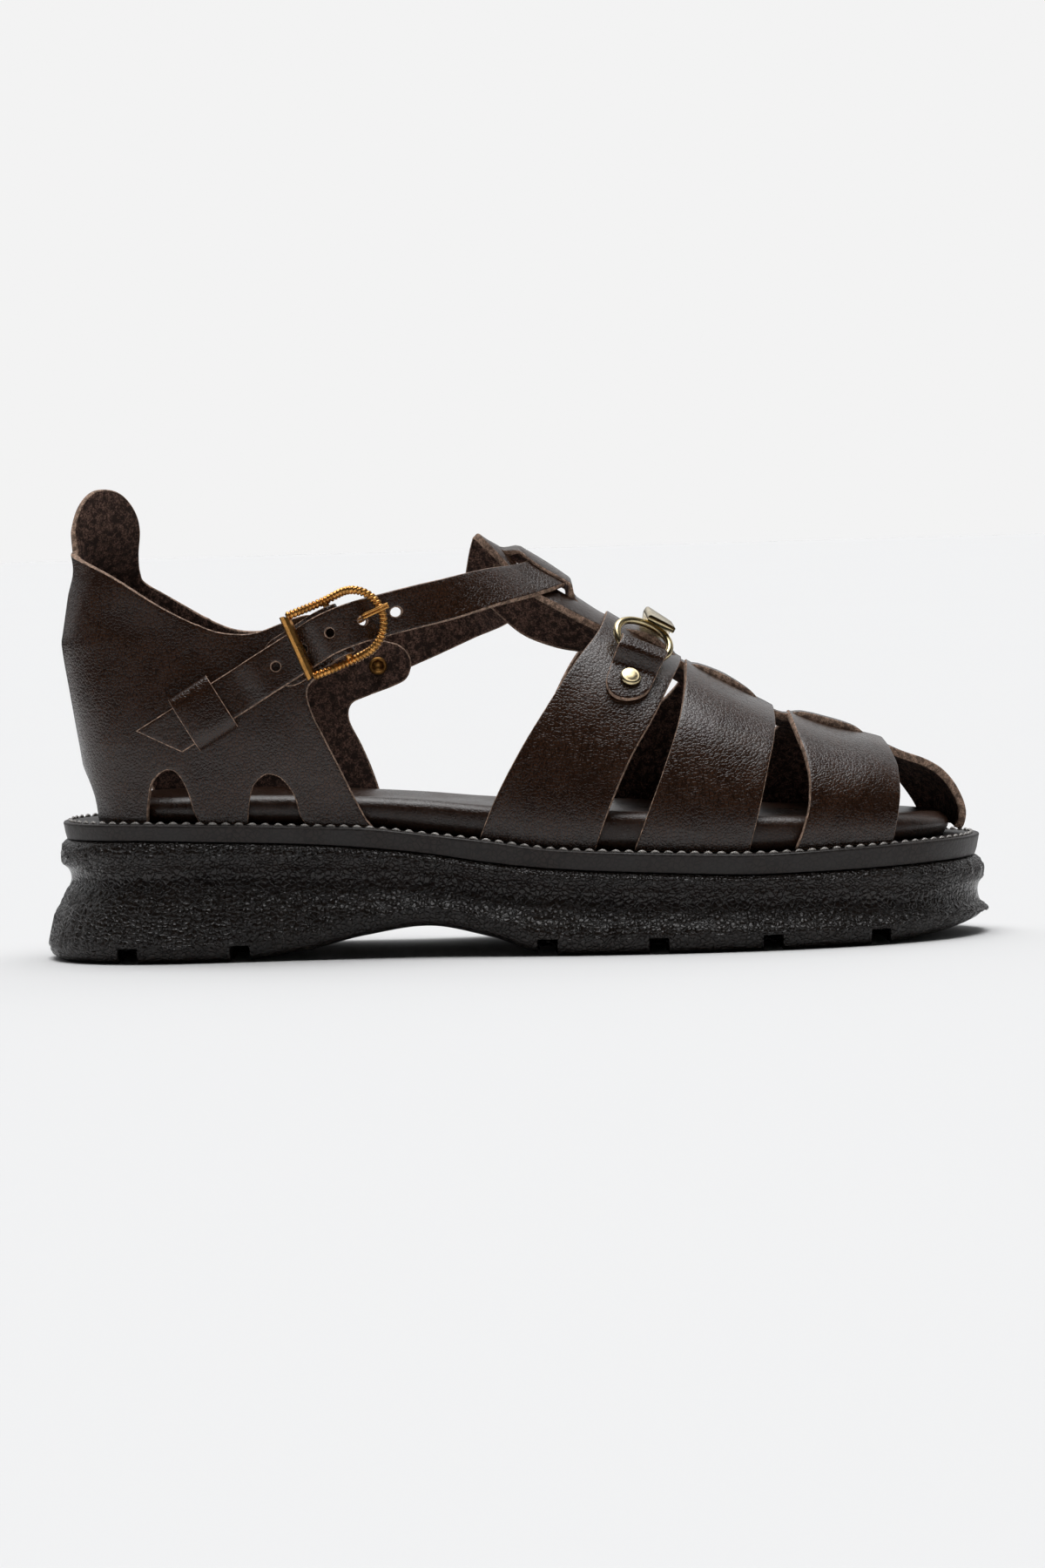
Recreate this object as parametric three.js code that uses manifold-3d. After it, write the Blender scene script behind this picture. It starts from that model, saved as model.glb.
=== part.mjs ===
// Right-foot cage sandal: wide leather bands and a threaded centre strip over the forefoot,
// a heel counter cut in one piece with its pull tab, a buckled ankle strap, a leather-covered
// footbed, a welt plate and a thick rubber platform sole.
// Millimetres. +X points to the toe, +Y to the inner (medial) side, +Z up.
// The origin is on the floor, in the middle of the sole's length and width.

import * as THREE from 'three';
import { mergeVertices } from 'three/addons/utils/BufferGeometryUtils.js';
import Module from 'manifold-3d';

const wasm = await Module();
wasm.setup();

// Driving sizes
const SOLE_LENGTH = 270.4;
const HEEL_TIP = -SOLE_LENGTH / 2;
const TOE_TIP = SOLE_LENGTH / 2;
const TOE_TIP_Y = 8;
const HEEL_CAP_X = -92;
const LATERAL_CAP_X = 48;
const MEDIAL_CAP_X = 64;
const HEEL_ROUND = 2.2;
const FOOTBED_HEEL_ROUND = 2.0;
const TOE_ROUND = 2.1;
const GAP = 0.3;
const LEATHER = 2.0;
const STRIP_THICK = 2.2;
const BRIDGE_THICK = 1.5;
const STRAP_THICK = 1.8;
const STRAP_WIDTH = 12;
const UPPER_INSET = 7.5;
const COUNTER_CAP_X = -88;
const COUNTER_ROUND = 2.4;
const WIRE_RADIUS = 1.2;
const BAND_MEET_Y = 4.5;

// Half widths of the sole from above, either side of the centre line
const SOLE_PLAN = [
  { x: -92, lateral: 37.5, medial: 38.5 },
  { x: -60, lateral: 37, medial: 35.5 },
  { x: -30, lateral: 38.5, medial: 33 },
  { x: 0, lateral: 44, medial: 36.5 },
  { x: 24, lateral: 48.4, medial: 43.2 },
  { x: 48, lateral: 50, medial: 48.8 },
  { x: 64, lateral: 50, medial: 50 },
];

// Heights of the sole's levels along its length
const SOLE_LEVELS = [
  { x: -135, floor: 0, groove: 23.2, weltLow: 34.6, weltTop: 39.4, bed: 43.6 },
  { x: -110, floor: 0, groove: 23.8, weltLow: 34.8, weltTop: 39.3, bed: 46.2 },
  { x: -84, floor: 0, groove: 23.4, weltLow: 33.9, weltTop: 38.6, bed: 46.4 },
  { x: -60, floor: 2.8, groove: 22.6, weltLow: 32.7, weltTop: 37.5, bed: 45.9 },
  { x: -44, floor: 6.4, groove: 21.9, weltLow: 31.4, weltTop: 36.7, bed: 45.1 },
  { x: -26, floor: 8.8, groove: 20.6, weltLow: 29.3, weltTop: 34.5, bed: 43.8 },
  { x: -8, floor: 5.4, groove: 17.9, weltLow: 26.4, weltTop: 32.2, bed: 41.9 },
  { x: 10, floor: 0, groove: 15.9, weltLow: 24.4, weltTop: 29.6, bed: 40.7 },
  { x: 40, floor: 0, groove: 14.4, weltLow: 22.6, weltTop: 28.0, bed: 39.0 },
  { x: 70, floor: 0, groove: 13.5, weltLow: 21.4, weltTop: 27.0, bed: 37.1 },
  { x: 98, floor: 0, groove: 12.9, weltLow: 21.7, weltTop: 27.7, bed: 36.0 },
  { x: 118, floor: 1.8, groove: 12.2, weltLow: 22.2, weltTop: 28.2, bed: 35.2 },
  { x: 136, floor: 5.0, groove: 11.4, weltLow: 22.6, weltTop: 28.4, bed: 33.0 },
];

// Tread recesses cut into both edges of the outsole, joined by shallow channels
const TREAD_RECESSES = [{ x: -110.8 }, { x: -79.0 }, { x: 7.6 }, { x: 38.8 }, { x: 70.8 }, { x: 101.5 }];
const RECESS_WIDTH = 5.6;
const RECESS_HEIGHT = 4.6;
const RECESS_DEPTH = 15;
const CHANNEL_HEIGHT = 1.8;

// The last under the cage bands: ridge height and place, and how full each side is
const LAST_SECTIONS = [
  { x: -18, ridge: 124.4, ridgeY: 5, rise: 1.7, lateral: 1.6, medial: 1.5 },
  { x: 0, ridge: 112.6, ridgeY: 5, rise: 1.7, lateral: 1.6, medial: 1.5 },
  { x: 14, ridge: 103.2, ridgeY: 4, rise: 1.75, lateral: 1.66, medial: 1.56 },
  { x: 28, ridge: 95.0, ridgeY: 4, rise: 1.85, lateral: 1.8, medial: 1.7 },
  { x: 43, ridge: 84.8, ridgeY: 4, rise: 1.95, lateral: 1.95, medial: 1.85 },
  { x: 58, ridge: 75.8, ridgeY: 3, rise: 2.1, lateral: 2.1, medial: 2.0 },
  { x: 74, ridge: 67.2, ridgeY: 3, rise: 2.2, lateral: 2.2, medial: 2.15 },
  { x: 90, ridge: 60.9, ridgeY: 4, rise: 2.3, lateral: 2.3, medial: 2.3 },
  { x: 104, ridge: 57.2, ridgeY: 5, rise: 2.3, lateral: 2.3, medial: 2.3 },
  { x: 116, ridge: 52.4, ridgeY: 6, rise: 2.3, lateral: 2.3, medial: 2.3 },
];

// Side outlines of the three cage bands on the outer side, rear edge upward, then front edge downward.
// The bands cross the foot aslant: on the inner side each edge is moved along the foot, fully below
// the height 'full' and not at all above the height 'none'.
const BANDS = [
  {
    inner: { rear: 3, front: -9, full: 60, none: 84 },
    rear: [[-13, 27], [-6.7, 42.6], [1.6, 57.8], [9.2, 69.5], [18.1, 82.2], [25.6, 91.5], [29.5, 100]],
    front: [[52, 90], [48.5, 81.2], [44.7, 75.2], [40, 66.9], [32.4, 54.6], [25.3, 39], [20.4, 25]],
  },
  {
    inner: { rear: -10, front: -9, full: 58, none: 77 },
    rear: [[31.2, 25], [37.9, 42.2], [41.6, 51.4], [47, 66.7], [49.2, 76.7], [50.4, 88]],
    front: [[74, 78], [74.3, 65], [73.7, 60.2], [71.5, 52.2], [68.7, 41.3], [64, 24]],
  },
  {
    inner: { rear: -12, front: 0, full: 50, none: 66 },
    rear: [[75.6, 22], [80.5, 33.5], [82.4, 40.9], [82.8, 47.4], [82, 53.4], [79.7, 61.5], [77, 72]],
    front: [[100.5, 68], [104.5, 58.8], [107.2, 53.8], [108.7, 49], [108.8, 43.9], [107.9, 36.8], [105, 24]],
  },
];

// The centre strip across the ridge: its two edges from above, and how far it stands off
// the last where it is threaded over and under the bands
const STRIP_OVER_LAST = [
  { nearX: -7.8, nearY: 2.5, farX: -13.2, farY: 15, lift: 0 },
  { nearX: -2, nearY: -1.8, farX: -6, farY: 16.5, lift: 0 },
  { nearX: 6, nearY: -7.6, farX: 3, farY: 18.5, lift: 0 },
  { nearX: 14, nearY: -9, farX: 12, farY: 19.5, lift: 0 },
  { nearX: 22, nearY: -9, farX: 20, farY: 20, lift: -1.0 },
  { nearX: 28, nearY: -8, farX: 27, farY: 20, lift: -1.4 },
  { nearX: 34, nearY: -5.5, farX: 33, farY: 20, lift: 0.6 },
  { nearX: 39, nearY: -4, farX: 38, farY: 20, lift: 1.9 },
  { nearX: 44, nearY: -3, farX: 43.5, farY: 20, lift: 1.2 },
  { nearX: 49, nearY: -3, farX: 49, farY: 20, lift: -0.6 },
  { nearX: 53.5, nearY: -2.6, farX: 53.5, farY: 20, lift: 1.3 },
  { nearX: 60, nearY: -2.2, farX: 60, farY: 20, lift: 2.3 },
  { nearX: 67, nearY: -2, farX: 67, farY: 20, lift: 1.5 },
  { nearX: 72, nearY: -2, farX: 72, farY: 20, lift: -0.9 },
  { nearX: 77.5, nearY: -2, farX: 77.5, farY: 20, lift: -1.0 },
  { nearX: 82, nearY: -2, farX: 82, farY: 20, lift: 1.6 },
  { nearX: 90, nearY: -1.5, farX: 90, farY: 20.5, lift: 2.4 },
  { nearX: 97, nearY: -1, farX: 97, farY: 21, lift: 1.6 },
  { nearX: 102, nearY: -1, farX: 102, farY: 21.5, lift: -0.9 },
  { nearX: 106.5, nearY: -1, farX: 105.5, farY: 22, lift: -1.4 },
];

// The strip's toe end, from the front band down to the welt
const STRIP_TOE = [
  { nearX: 111.8, nearY: -0.7, nearZ: 52.3, farX: 109, farY: 23.6, farZ: 48.4, bow: 1.6 },
  { nearX: 117.3, nearY: -0.3, nearZ: 50.2, farX: 112.2, farY: 25.2, farZ: 44.3, bow: 2.2 },
  { nearX: 122.3, nearY: 0.5, nearZ: 47.2, farX: 115.0, farY: 26.6, farZ: 40.2, bow: 2.6 },
  { nearX: 126.0, nearY: 1.4, nearZ: 43.1, farX: 117.2, farY: 27.6, farZ: 36.6, bow: 2.8 },
  { nearX: 128.3, nearY: 2.2, nearZ: 38.6, farX: 118.6, farY: 28.0, farZ: 33.6, bow: 2.8 },
  { nearX: 129.2, nearY: 2.8, nearZ: 34.6, farX: 119.3, farY: 28.0, farZ: 31.6, bow: 2.6 },
  { nearX: 128.7, nearY: 3.2, nearZ: 31.2, farX: 119.4, farY: 27.8, farZ: 30.2, bow: 2.8 },
  { nearX: 127.6, nearY: 3.4, nearZ: 28.8, farX: 119.2, farY: 27.4, farZ: 28.8, bow: 2.8 },
];

// The bridge in the strip's top that the ankle strap passes under
const BRIDGE = { nearY: -1.4, farY: 9.5, rearX: -4.5, frontX: 21.6, lift: 3.8 };
const BRIDGE_WINDOW = { rearX: 0.2, frontX: 17.6 };

// The back of the heel counter, from the welt to the top of the pull tab
const COUNTER_BACK = [
  { z: 36, x: -121.4 },
  { z: 48, x: -122.9 },
  { z: 63.5, x: -125.2 },
  { z: 77, x: -127.2 },
  { z: 88.5, x: -128.8 },
  { z: 90.5, x: -129.0 },
  { z: 92.5, x: -128.7 },
  { z: 103, x: -126.9 },
  { z: 115, x: -124.6 },
  { z: 138, x: -124.4 },
];

// Half widths of the counter at collar height
const COUNTER_COLLAR = [
  { x: -92, lateral: 26, medial: 26 },
  { x: -60, lateral: 28, medial: 28 },
  { x: -36, lateral: 30.5, medial: 31.5 },
  { x: -20, lateral: 31, medial: 32.5 },
];

// The pull tab's straight line from above: it turns away from the collar's curve as it rises
const TAB_LINE = {
  start: { x: -125.4, y: -3.5, angle: -12 },
  end: { x: -107.6, y: 12, angle: 59 },
  fade: 26,
  low: 104,
  high: 124,
};

// Counter outlines from the side, the lateral half and the medial half
const COUNTER_LATERAL = [
  [-145, 30], [-145, 114.7], [-124, 114.7], [-112.5, 109], [-98.3, 100], [-85.3, 93.7], [-77.4, 92.2],
  [-71.8, 92.6], [-65.8, 94.6], [-58, 97], [-51.5, 95.5], [-49.5, 89], [-54, 81], [-58.1, 76.2],
  [-57, 69.5], [-53.7, 62.2], [-49.3, 52.9], [-45.6, 44.9], [-42.5, 38.9], [-40.5, 30],
];
const COUNTER_MEDIAL = [
  [-145, 30], [-145, 114.7], [-125.3, 114.7], [-125.3, 122.1], [-123.6, 128.4], [-120.6, 132.6],
  [-117, 133.9], [-112.6, 132.6], [-109.2, 128.4], [-107.6, 122.9], [-108, 115.6], [-107.8, 110.4],
  [-106, 106.6], [-97.7, 101.3], [-85.7, 94.3], [-78, 91.8], [-68, 91.6], [-52, 91],
  [-36.1, 87.2], [-32.7, 85.9], [-30.4, 83.4], [-29.7, 80.4], [-31.1, 76.4], [-35, 74.2],
  [-42.7, 71.5], [-47.4, 69.3], [-48.1, 64.7], [-44.7, 57.5], [-41.8, 50.5], [-39, 42], [-37.5, 30],
];
// Arched cut-outs along the counter's lower edge
const COUNTER_ARCHES = {
  lateral: [
    { left: -104.2, right: -91.2, top: 54.4, crest: -97.8 },
    { left: -75.6, right: -61.2, top: 52.4, crest: -69.6 },
  ],
  medial: [
    { left: -117.0, right: -105.4, top: 54.4, crest: -111.4 },
    { left: -92.4, right: -79.4, top: 53.0, crest: -86.4 },
  ],
};
const HEEL_ARCH = { halfWidth: 15, top: 56 };

// The ankle strap's seat, from its tail on the outer side over the instep to the inner side.
// A row on the counter or on the last needs only two coordinates.
const STRAP_SEAT = [
  { on: 'lateral', x: -104.2, z: 60.0 },
  { on: 'lateral', x: -92, z: 67.3 },
  { on: 'lateral', x: -81.5, z: 73.6 },
  { on: 'lateral', x: -70, z: 80.3 },
  { on: 'lateral', x: -60, z: 86.2 },
  { on: 'lateral', x: -50, z: 91.6 },
  { on: 'lateral', x: -41, z: 95.0 },
  { on: 'lateral', x: -32, z: 97.3 },
  { on: 'air', x: -18, y: -25.5, z: 99.8 },
  { on: 'air', x: -7, y: -17.5, z: 102.0 },
  { on: 'last', x: 3.5, y: -7.5 },
  { on: 'last', x: 10, y: 0.5 },
  { on: 'last', x: 8, y: 8 },
  { on: 'last', x: 2, y: 13.5 },
  { on: 'last', x: -4.5, y: 16.8 },
  { on: 'air', x: -14, y: 27.5, z: 92.6 },
  { on: 'medial', x: -24, z: 88.5 },
  { on: 'medial', x: -32, z: 85.2 },
  { on: 'medial', x: -39.5, z: 81.9 },
  { on: 'medial', x: -47, z: 78.6 },
];
// How far the strap's middle stands off its seat, by distance from the buckle's centre bar
const STRAP_LIFT = [
  { at: -75, lift: 1.5 },
  { at: -33, lift: 1.5 },
  { at: -25.5, lift: 3.0 },
  { at: -19, lift: 3.1 },
  { at: -13.7, lift: 3.6 },
  { at: -9, lift: 4.9 },
  { at: -4, lift: 6.7 },
  { at: 3, lift: 6.9 },
  { at: 7.5, lift: 5.9 },
  { at: 11.5, lift: 4.05 },
  { at: 15, lift: 3.7 },
  { at: 24, lift: 2.4 },
  { at: 34, lift: 1.9 },
  { at: 52, lift: 1.85 },
  { at: 66, lift: 1.85 },
  { at: 82, lift: 2.25 },
  { at: 220, lift: 1.6 },
];
const STRAP_TAIL_SLANT = 10;
const STRAP_HOLES = [-20.4, -11.1, -1.8, 8.2, 16.8];
const STRAP_HOLE_RADIUS = 1.35;
const BAR_DISTANCE = 64.4;
const BAR_RADIUS = 0.95;

const BUCKLE = { length: 27, width: 21, leftBar: -11.6, endLift: 7.8, barLift: 2.9 };
const CHAPE = { from: -24, to: 2.6, width: 14.8, thick: 1.2, foldFrom: 1.3 };
const KEEPER = { at: -44.6, length: 12.4, width: 17.4, thick: 1.7, height: 3.4 };
const PRONG = { width: 1.5, from: -1, holeRear: 7.9, holeFront: 9.3, tip: 16.6, thick: 1.0 };

// The bit: two oval rings joined by a link across the instep, each held by a riveted tab
const BIT_X = 35.6;
const RING = { lateralY: -13.6, medialY: 20.4, halfLength: 8.2, halfWidth: 6.4, lift: 3.6, lean: 1.9 };
const LINK = { x: 38.6, width: 7.4, thick: 2.0, lift: 4.9, endLift: 7.4, nearY: -10.4, farY: 17.4 };
const BIT_TAB = { width: 12.2, thick: 1.6, wireLift: 3.05, rivet: 9.8, bottom: 16.6 };
const RIVET_RADIUS = 3.05;
const EYELET = { x: -39.5, z: 80.2 };
const RING_WIRE = 1.1;

const COLOURS = {
  leather: 0x2a1813,
  rubber: 0x15100e,
  welt: 0x1b1412,
  footbed: 0x2b1d19,
  gold: 0xb9862c,
  paleGold: 0xd6c791,
};

// Smooth reading of one column of a table between its rows, with no overshoot
function readColumn(rows, key, at, by = 'x') {
  const last = rows.length - 1;
  if (at <= rows[0][by]) return rows[0][key];
  if (at >= rows[last][by]) return rows[last][key];
  const i = rows.findIndex((row, k) => k < last && at <= rows[k + 1][by]);
  const slope = (k) => (rows[k + 1][key] - rows[k][key]) / (rows[k + 1][by] - rows[k][by]);
  const tangent = (k) => {
    if (k === 0 || k === last) return slope(Math.min(k, last - 1));
    const before = slope(k - 1);
    const after = slope(k);
    return before * after <= 0 ? 0 : (2 * before * after) / (before + after);
  };
  const span = rows[i + 1][by] - rows[i][by];
  const t = (at - rows[i][by]) / span;
  const rest = 1 - t;
  return (
    rows[i][key] * rest * rest * (1 + 2 * t) +
    rows[i + 1][key] * t * t * (3 - 2 * t) +
    span * tangent(i) * t * rest * rest -
    span * tangent(i + 1) * t * t * rest
  );
}

function smooth(from, to, at) {
  return THREE.MathUtils.smoothstep(at, from, to);
}

function level(name, x) {
  return readColumn(SOLE_LEVELS, name, x);
}

// Half width of the sole on one side, drawn in by an inset, between its own heel and toe tips
function halfWidth(side, x, inset = 0, heelTip = HEEL_TIP, toeTip = TOE_TIP, heelRound = HEEL_ROUND) {
  const toeStart = side === 'lateral' ? LATERAL_CAP_X : MEDIAL_CAP_X;
  const towardMedial = side === 'medial' ? 1 : -1;
  if (x < HEEL_CAP_X) {
    const t = Math.min(1, (HEEL_CAP_X - x) / (HEEL_CAP_X - heelTip));
    const round = 1 - Math.pow(t, heelRound);
    return (readColumn(SOLE_PLAN, side, HEEL_CAP_X) - inset) * Math.pow(round, 1 / heelRound);
  }
  if (x > toeStart) {
    const t = Math.min(1, (x - toeStart) / (toeTip - toeStart));
    const round = Math.pow(1 - Math.pow(t, TOE_ROUND), 1 / TOE_ROUND);
    const wide = readColumn(SOLE_PLAN, side, toeStart) - inset;
    return wide * round + towardMedial * TOE_TIP_Y * (1 - round);
  }
  return readColumn(SOLE_PLAN, side, x) - inset;
}

// Turns a closed triangle list into a solid
function solid(points, faces) {
  const geometry = new THREE.BufferGeometry();
  const position = points.flatMap((p) => [p.x, p.y, p.z]);
  geometry.setAttribute('position', new THREE.Float32BufferAttribute(position, 3));
  geometry.setIndex(faces.flat());
  return fromGeometry(geometry);
}

function fromGeometry(source, matrix = new THREE.Matrix4()) {
  const plain = source.clone();
  plain.deleteAttribute('normal');
  plain.deleteAttribute('uv');
  plain.applyMatrix4(matrix);
  const merged = mergeVertices(plain, 1e-4);
  return new wasm.Manifold(
    new wasm.Mesh({
      numProp: 3,
      vertProperties: new Float32Array(merged.attributes.position.array),
      triVerts: new Uint32Array(merged.index.array),
    }),
  );
}

function toGeometry(body) {
  const mesh = body.getMesh();
  const geometry = new THREE.BufferGeometry();
  geometry.setAttribute('position', new THREE.BufferAttribute(new Float32Array(mesh.vertProperties), 3));
  geometry.setIndex(new THREE.BufferAttribute(new Uint32Array(mesh.triVerts), 1));
  geometry.computeVertexNormals();
  return geometry;
}

// A solid between stacked rings that all hold the same number of points
// Each ring runs along the lateral side from heel tip to toe tip, then back along the medial side
function stackRings(rings) {
  const count = rings[0].length;
  const points = rings.flat();
  const faces = [];
  for (let k = 0; k < rings.length - 1; k += 1) {
    for (let i = 0; i < count; i += 1) {
      const j = (i + 1) % count;
      const a = k * count + i;
      const b = k * count + j;
      faces.push([a, b, b + count], [a, b + count, a + count]);
    }
  }
  const half = count / 2;
  const top = (rings.length - 1) * count;
  for (let i = 0; i < half; i += 1) {
    const across = (count - i) % count;
    const acrossNext = count - i - 1;
    if (i > 0) {
      faces.push([i, across, i + 1]);
      faces.push([top + i, top + i + 1, top + across]);
    }
    if (i < half - 1) {
      faces.push([across, acrossNext, i + 1]);
      faces.push([top + across, top + i + 1, top + acrossNext]);
    }
  }
  return solid(points, faces);
}

// Stations along the sole, closer together toward both tips
function stations(heelTip, toeTip) {
  const list = [heelTip];
  const heelSteps = 6;
  const toeSteps = 9;
  const middleSteps = 11;
  for (let k = heelSteps - 1; k > 0; k -= 1) {
    const turn = ((k / heelSteps) * Math.PI) / 2;
    list.push(HEEL_CAP_X - (HEEL_CAP_X - heelTip) * Math.sin(turn));
  }
  for (let k = 0; k < middleSteps; k += 1) {
    list.push(THREE.MathUtils.lerp(HEEL_CAP_X, LATERAL_CAP_X, k / middleSteps));
  }
  for (let k = 0; k <= toeSteps; k += 1) {
    const turn = ((k / toeSteps) * Math.PI) / 2;
    list.push(LATERAL_CAP_X + (toeTip - LATERAL_CAP_X) * Math.sin(turn));
  }
  return list;
}

// One ring of the sole: how far it is drawn in at the sides, the heel and the toe
function soleRing({ side, heel, toe, height, heelRound }) {
  const heelTip = HEEL_TIP + heel;
  const toeTip = TOE_TIP - toe;
  const xs = stations(heelTip, toeTip);
  const last = xs.length - 1;
  const point = (x, y) => new THREE.Vector3(x, y, height(x));
  const lateral = xs.map((x) => point(x, -halfWidth('lateral', x, side, heelTip, toeTip, heelRound)));
  const medial = xs.map((x) => point(x, halfWidth('medial', x, side, heelTip, toeTip, heelRound)));
  lateral[0] = point(xs[0], 0);
  lateral[last] = point(xs[last], TOE_TIP_Y);
  return [...lateral, ...medial.slice(1, last).reverse()];
}

function extrudeOutline(outline, depth, matrix) {
  const shape = new THREE.Shape(outline.map(([a, b]) => new THREE.Vector2(a, b)));
  const geometry = new THREE.ExtrudeGeometry(shape, { depth, bevelEnabled: false, curveSegments: 8 });
  return fromGeometry(geometry, matrix);
}

// A prism seen from the side: an outline in X and Z, carried from one Y to another
function sidePrism(outline, fromY, toY) {
  const place = new THREE.Matrix4().makeBasis(
    new THREE.Vector3(1, 0, 0),
    new THREE.Vector3(0, 0, 1),
    new THREE.Vector3(0, -1, 0),
  );
  place.setPosition(0, toY, 0);
  return extrudeOutline(outline, toY - fromY, place);
}

function splineThrough(points, divisions) {
  const curve = new THREE.SplineCurve(points.map(([a, b]) => new THREE.Vector2(a, b)));
  return curve.getPoints(divisions).map((p) => [p.x, p.y]);
}

// A closed sheet of leather: a grid of points on its outer face, thickened inward
function sheet(grid, thickness) {
  const rows = grid.length;
  const cols = grid[0].length;
  const at = (i, j) => grid[THREE.MathUtils.clamp(i, 0, rows - 1)][THREE.MathUtils.clamp(j, 0, cols - 1)];
  const outer = [];
  const inner = [];
  for (let i = 0; i < rows; i += 1) {
    for (let j = 0; j < cols; j += 1) {
      const along = at(i + 1, j).clone().sub(at(i - 1, j));
      const across = at(i, j + 1).clone().sub(at(i, j - 1));
      const normal = along.cross(across).normalize();
      outer.push(at(i, j).clone());
      inner.push(at(i, j).clone().addScaledVector(normal, -thickness));
    }
  }
  const id = (i, j, deep) => (deep ? rows * cols : 0) + i * cols + j;
  const faces = [];
  const quad = (a, b, c, d) => faces.push([a, b, c], [a, c, d]);
  for (let i = 0; i < rows - 1; i += 1) {
    for (let j = 0; j < cols - 1; j += 1) {
      quad(id(i, j, 0), id(i + 1, j, 0), id(i + 1, j + 1, 0), id(i, j + 1, 0));
      quad(id(i, j, 1), id(i, j + 1, 1), id(i + 1, j + 1, 1), id(i + 1, j, 1));
    }
  }
  for (let i = 0; i < rows - 1; i += 1) {
    quad(id(i, 0, 0), id(i, 0, 1), id(i + 1, 0, 1), id(i + 1, 0, 0));
    quad(id(i, cols - 1, 0), id(i + 1, cols - 1, 0), id(i + 1, cols - 1, 1), id(i, cols - 1, 1));
  }
  for (let j = 0; j < cols - 1; j += 1) {
    quad(id(0, j, 0), id(0, j + 1, 0), id(0, j + 1, 1), id(0, j, 1));
    quad(id(rows - 1, j, 0), id(rows - 1, j, 1), id(rows - 1, j + 1, 1), id(rows - 1, j + 1, 0));
  }
  return solid([...outer, ...inner], faces);
}

// The last: outer face of the cage bands
function lastSide(x, y) {
  const ridgeY = readColumn(LAST_SECTIONS, 'ridgeY', x);
  return y < ridgeY ? 'lateral' : 'medial';
}

function lastReach(side, x) {
  const ridgeY = readColumn(LAST_SECTIONS, 'ridgeY', x);
  const edge = halfWidth(side, x, UPPER_INSET);
  return side === 'lateral' ? edge + ridgeY : edge - ridgeY;
}

function lastFloor(x) {
  return level('weltTop', x) + GAP;
}

function lastHeight(x, y) {
  const side = lastSide(x, y);
  const ridge = readColumn(LAST_SECTIONS, 'ridge', x);
  const t = Math.min(1, Math.abs(y - readColumn(LAST_SECTIONS, 'ridgeY', x)) / lastReach(side, x));
  const fall = Math.pow(t, readColumn(LAST_SECTIONS, side, x));
  const rise = readColumn(LAST_SECTIONS, 'rise', x);
  return lastFloor(x) + (ridge - lastFloor(x)) * Math.pow(1 - fall, 1 / rise);
}

function lastNormal(x, y) {
  const step = 0.5;
  const slopeX = (lastHeight(x + step, y) - lastHeight(x - step, y)) / (2 * step);
  const slopeY = (lastHeight(x, y + step) - lastHeight(x, y - step)) / (2 * step);
  return new THREE.Vector3(-slopeX, -slopeY, 1).normalize();
}

function onLast(x, y, lift = 0) {
  return new THREE.Vector3(x, y, lastHeight(x, y)).addScaledVector(lastNormal(x, y), lift);
}

// One section of the last, from the lateral welt over the ridge to the medial welt
function lastSection(x, steps) {
  const ridgeY = readColumn(LAST_SECTIONS, 'ridgeY', x);
  const ridge = readColumn(LAST_SECTIONS, 'ridge', x);
  const rise = readColumn(LAST_SECTIONS, 'rise', x);
  const floor = lastFloor(x);
  const section = [];
  for (let k = 0; k <= steps; k += 1) {
    const turn = (k / steps) * Math.PI;
    const side = turn < Math.PI / 2 ? 'lateral' : 'medial';
    const full = readColumn(LAST_SECTIONS, side, x);
    const out = Math.pow(Math.abs(Math.cos(turn)), 2 / full) * lastReach(side, x);
    const up = Math.pow(Math.sin(turn) ** 2, 1 / rise);
    const tuck = 1 - 0.02 * Math.pow(Math.max(0, 1 - (up * (ridge - floor)) / 8), 2);
    const y = ridgeY - Math.sign(Math.cos(turn)) * out * tuck;
    section.push(new THREE.Vector3(x, y, floor + up * (ridge - floor)));
  }
  return section;
}

// The cage: three bands cut from one shell over the last, with the centre strip joined to them
function makeCage() {
  const sections = [];
  for (let x = -14; x <= 112; x += 7) sections.push(lastSection(x, 18));
  const shell = sheet(sections, LEATHER);
  const bands = BANDS.map(({ rear, front, inner }) => {
    const outer = [...splineThrough(rear, 7), ...splineThrough(front, 7)];
    const moved = (edge, by) => edge.map(([x, z]) => [x + by * (1 - smooth(inner.full, inner.none, z)), z]);
    const innerOutline = [
      ...splineThrough(moved(rear, inner.rear), 7), ...splineThrough(moved(front, inner.front), 7),
    ];
    const cutter = sidePrism(outer, -60, BAND_MEET_Y).add(sidePrism(innerOutline, BAND_MEET_Y - 0.01, 60));
    return shell.intersect(cutter);
  });
  const strip = makeCentreStrip();
  return bands.reduce((whole, band) => whole.add(band), strip);
}

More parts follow.
